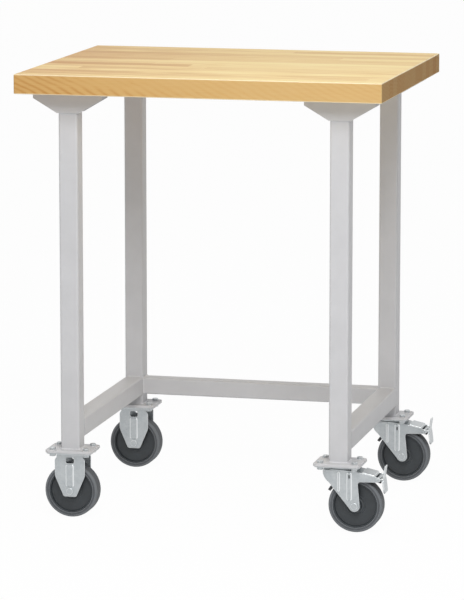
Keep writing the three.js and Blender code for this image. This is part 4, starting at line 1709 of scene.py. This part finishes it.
    def strap(self, name: str, start: Point, end: Point, width: float) -> Object:
        """A flat strap across the castor, with round ends and eased sides.

        Args:
            name: The strap's name.
            start: Where it starts, seen from the side.
            end: Where it ends.
            width: Its width across the castor.

        Returns:
            The strap.
        """
        angle = math.degrees(math.atan2(end[1] - start[1], end[0] - start[0]))
        half = self.pedal_sheet / 2
        outline = arc(start, half, angle + 90, angle + 270, 8) + arc(end, half, angle - 90, angle + 90, 8)
        piece = slab(name, outline, Axis.Y, -width / 2, width / 2)
        for level in (-width / 2, width / 2):
            round_rim(piece, Axis.Y, level, self.pedal_edge, 3)
        return piece

    def round_tongue(self, neck: Point, tongue: Point) -> Object:
        """The pedal's lower strap, whose free end is rounded off.

        Args:
            neck: Where it starts, seen from the side.
            tongue: Where it ends.

        Returns:
            The strap.
        """
        strap = self.strap("tongue", neck, tongue, self.tongue_width)
        low, high = tongue[1] - self.pedal_sheet, neck[1] + self.pedal_sheet
        middle = (0.0, (low + high) / 2)
        face = rounded(self.tongue_width + 0.1, high - low, self.tongue_corner, middle, 12)
        combine(strap, slab("tongue_face", face, Axis.X, neck[0] - 20, tongue[0] + 20), "INTERSECT")
        return strap

    def pedal(self) -> Object:
        """The rocker pedal: knuckle, finger, tongue and cam.

        Returns:
            The pedal about the castor's centre.
        """
        neck, finger, tongue, cam = map(
            self.from_pivot, (self.pedal_neck, self.finger, self.tongue, self.cam)
        )
        half, cam_half = self.gap / 2 - self.knuckle_gap, self.cam_width / 2
        parts = [
            rod("knuckle", self.knuckle, Axis.Y, -half, half, self.pivot, 0.6),
            self.strap("neck", self.pivot, neck, self.tongue_width),
            self.strap("finger", neck, finger, self.finger_width),
            self.round_tongue(neck, tongue),
            rod("cam", self.cam_radius, Axis.Y, -cam_half, cam_half, cam, 0.4),
        ]
        return join("pedal_pattern", parts)

    def strip(self, node: Object) -> Object:
        """The brake strip, its node's own shape with eased edges.

        Args:
            node: The CAD node at the front corner.

        Returns:
            The strip at the front corner.
        """
        piece = copied(node, "strip_pattern", CENTRE)
        with editing(piece, "VERT"):
            bpy.ops.mesh.remove_doubles(threshold=DOUBLED * MM)
            bpy.ops.mesh.dissolve_limited(angle_limit=math.radians(1.0))
        ease_edges(piece, 0.5, 2, 50.0)
        return piece

    def build(self, paint: Paintbox, frame: dict[str, Any]) -> None:
        """Models one castor and copies it to the swivel corners.

        Args:
            paint: The finishes.
            frame: The loaded frame.
        """
        front = Corner.FRONT_RIGHT
        strip = self.strip(frame["nodes"][f"brake_strip_{front.label}"])
        pin = self.pin.solid("pedal_pin_pattern", self.pivot)
        patterns = (
            (self.plate(), ZINC_PLATE, "cupped_plate_{}", "table", "swivel_plate_{}", CENTRE),
            (self.race(), ZINC_PLATE, "rolled_race_{}", "fork_{}", "ball_race_{}", CENTRE),
            (self.fork(), ZINC_PLATE, "pressed_fork_{}", "fork_{}", "swivel_fork_{}", CENTRE),
            (pin, ZINC_PLATE, "pedal_rivet_{}", "fork_{}", "pedal_pin_{}", CENTRE),
            (self.pedal(), ZINC_PLATE, "rocker_{}", "pedal_{}", "brake_pedal_{}", CENTRE),
            (strip, BLACK_STEEL, "spring_strip_{}", "strip_{}", "brake_strip_{}", front.place),
        )
        for pattern, finish, name, body, node, home in patterns:
            paint.repeat(pattern, SWIVEL_CORNERS, finish, name, body, node, home=home)
            drop(pattern)
        for corner in SWIVEL_CORNERS:
            paint.dress(frame["nodes"][f"king_pin_{corner.label}"], ZINC_PLATE)


# Studio


@dataclass
class Studio:
    """The floor, the light and the camera."""

    azimuth: float = 13.67
    elevation: float = 9.51
    distance: float = 8.62
    lens: float = 219.9
    aim: tuple[float, float, float] = (-0.0007, 0.0, 0.477)
    sight: float = 200.0
    daylight: float = 0.36
    floor_size: float = 120.0
    floor_colour: str = "#F4F4F4"
    floor_white: float = 0.97
    lamp_aim: tuple[float, float, float] = (0.0, 0.0, 0.6)

    def seen_plainly(self, tree: NodeTree) -> NodeSocket:
        """One for a ray from the camera, a reflection or a view through something, and nought for light.

        Args:
            tree: The node tree.

        Returns:
            The value.
        """
        path = add(tree, "ShaderNodeLightPath").outputs
        mirrored = {0: path["Is Glossy Ray"], 1: path["Is Transmission Ray"]}
        either = add(tree, "ShaderNodeMath", {"operation": "MAXIMUM"}, mirrored).outputs[0]
        both = {0: path["Is Camera Ray"], 1: either}
        return add(tree, "ShaderNodeMath", {"operation": "MAXIMUM"}, both).outputs[0]

    def floor(self) -> None:
        """A pale floor that looks white and keeps the shadow."""
        start_fresh()
        bpy.ops.mesh.primitive_plane_add(size=self.floor_size)
        ground = named("studio_floor")
        material = bpy.data.materials.new("pale_floor")
        material.use_nodes = True
        tree = material.node_tree
        matt = tree.nodes["Principled BSDF"]
        matt.inputs["Base Color"].default_value = linear(self.floor_colour)
        matt.inputs["Roughness"].default_value = 0.9
        glow = add(tree, "ShaderNodeEmission", {"Color": linear("#FFFFFF"), "Strength": 1.0})
        factor = {"operation": "MULTIPLY", 1: self.floor_white}
        share = add(tree, "ShaderNodeMath", factor, {0: self.seen_plainly(tree)}).outputs[0]
        links = {0: share, 1: matt.outputs["BSDF"], 2: glow.outputs["Emission"]}
        mixed = add(tree, "ShaderNodeMixShader", links=links)
        tree.links.new(mixed.outputs["Shader"], tree.nodes["Material Output"].inputs["Surface"])
        ground.data.materials.append(material)

    def world(self) -> None:
        """Soft light from all round, and a white backdrop."""
        world = bpy.data.worlds.new("studio")
        bpy.context.scene.world = world
        world.use_nodes = True
        tree = world.node_tree
        light = tree.nodes["Background"]
        light.inputs["Color"].default_value = linear("#FFFFFF")
        light.inputs["Strength"].default_value = self.daylight
        white = add(tree, "ShaderNodeBackground", {"Color": linear("#FFFFFF"), "Strength": 1.0})
        links = {0: self.seen_plainly(tree), 1: light.outputs["Background"], 2: white.outputs["Background"]}
        mixed = add(tree, "ShaderNodeMixShader", links=links)
        tree.links.new(mixed.outputs["Shader"], tree.nodes["World Output"].inputs["Surface"])

    def lamp(self, name: str, place: tuple[float, float, float], size: float, power: float) -> None:
        """A large soft lamp that faces the table.

        Args:
            name: The lamp's name.
            place: Where it stands.
            size: Its side in metres.
            power: Its power in watts.
        """
        light = bpy.data.lights.new(name, "AREA")
        light.size = size
        light.energy = power
        lamp = bpy.data.objects.new(name, light)
        lamp.location = place
        lamp.rotation_euler = (Vector(self.lamp_aim) - Vector(place)).to_track_quat("-Z", "Y").to_euler()
        bpy.context.scene.collection.objects.link(lamp)

    def camera(self) -> None:
        """The camera at the photograph's viewing angle."""
        around, up = math.radians(self.azimuth), math.radians(self.elevation)
        back = Vector((math.sin(around) * math.cos(up), -math.cos(around) * math.cos(up), math.sin(up)))
        data = bpy.data.cameras.new("view")
        data.lens = self.lens
        data.clip_end = self.sight
        camera = bpy.data.objects.new("view", data)
        camera.location = Vector(self.aim) + back * self.distance
        camera.rotation_euler = (-back).to_track_quat("-Z", "Y").to_euler()
        bpy.context.scene.collection.objects.link(camera)
        bpy.context.scene.camera = camera

    def build(self) -> None:
        """Sets up the studio."""
        self.floor()
        self.world()
        self.lamp("key", (0.7, -2.6, 2.9), size=1.6, power=68.0)
        self.lamp("fill", (1.3, -3.0, 0.5), size=1.2, power=5.0)
        self.lamp("overhead", (0.2, -0.2, 3.4), size=2.4, power=17.0)
        self.camera()
        bpy.context.scene.view_settings.view_transform = "Standard"


def main() -> None:
    """Builds the dressed table in order."""
    logging.basicConfig(level=logging.INFO, format="%(name)s %(message)s")
    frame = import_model()
    Studio().build()
    paint = Paintbox()
    Worktop().build(paint)
    WeldedFrame().build(paint)
    HeadBracket().build(paint)
    Footing().build(paint)
    CastorWheel().build(paint, FIXED_CORNERS, 0.0, "table")
    CastorWheel().build(paint, SWIVEL_CORNERS, SwivelCastor.trail, "fork_{}")
    FixedFork().build(paint)
    SwivelCastor().build(paint, frame)
    start_fresh()


if __name__ == "__main__":
    main()
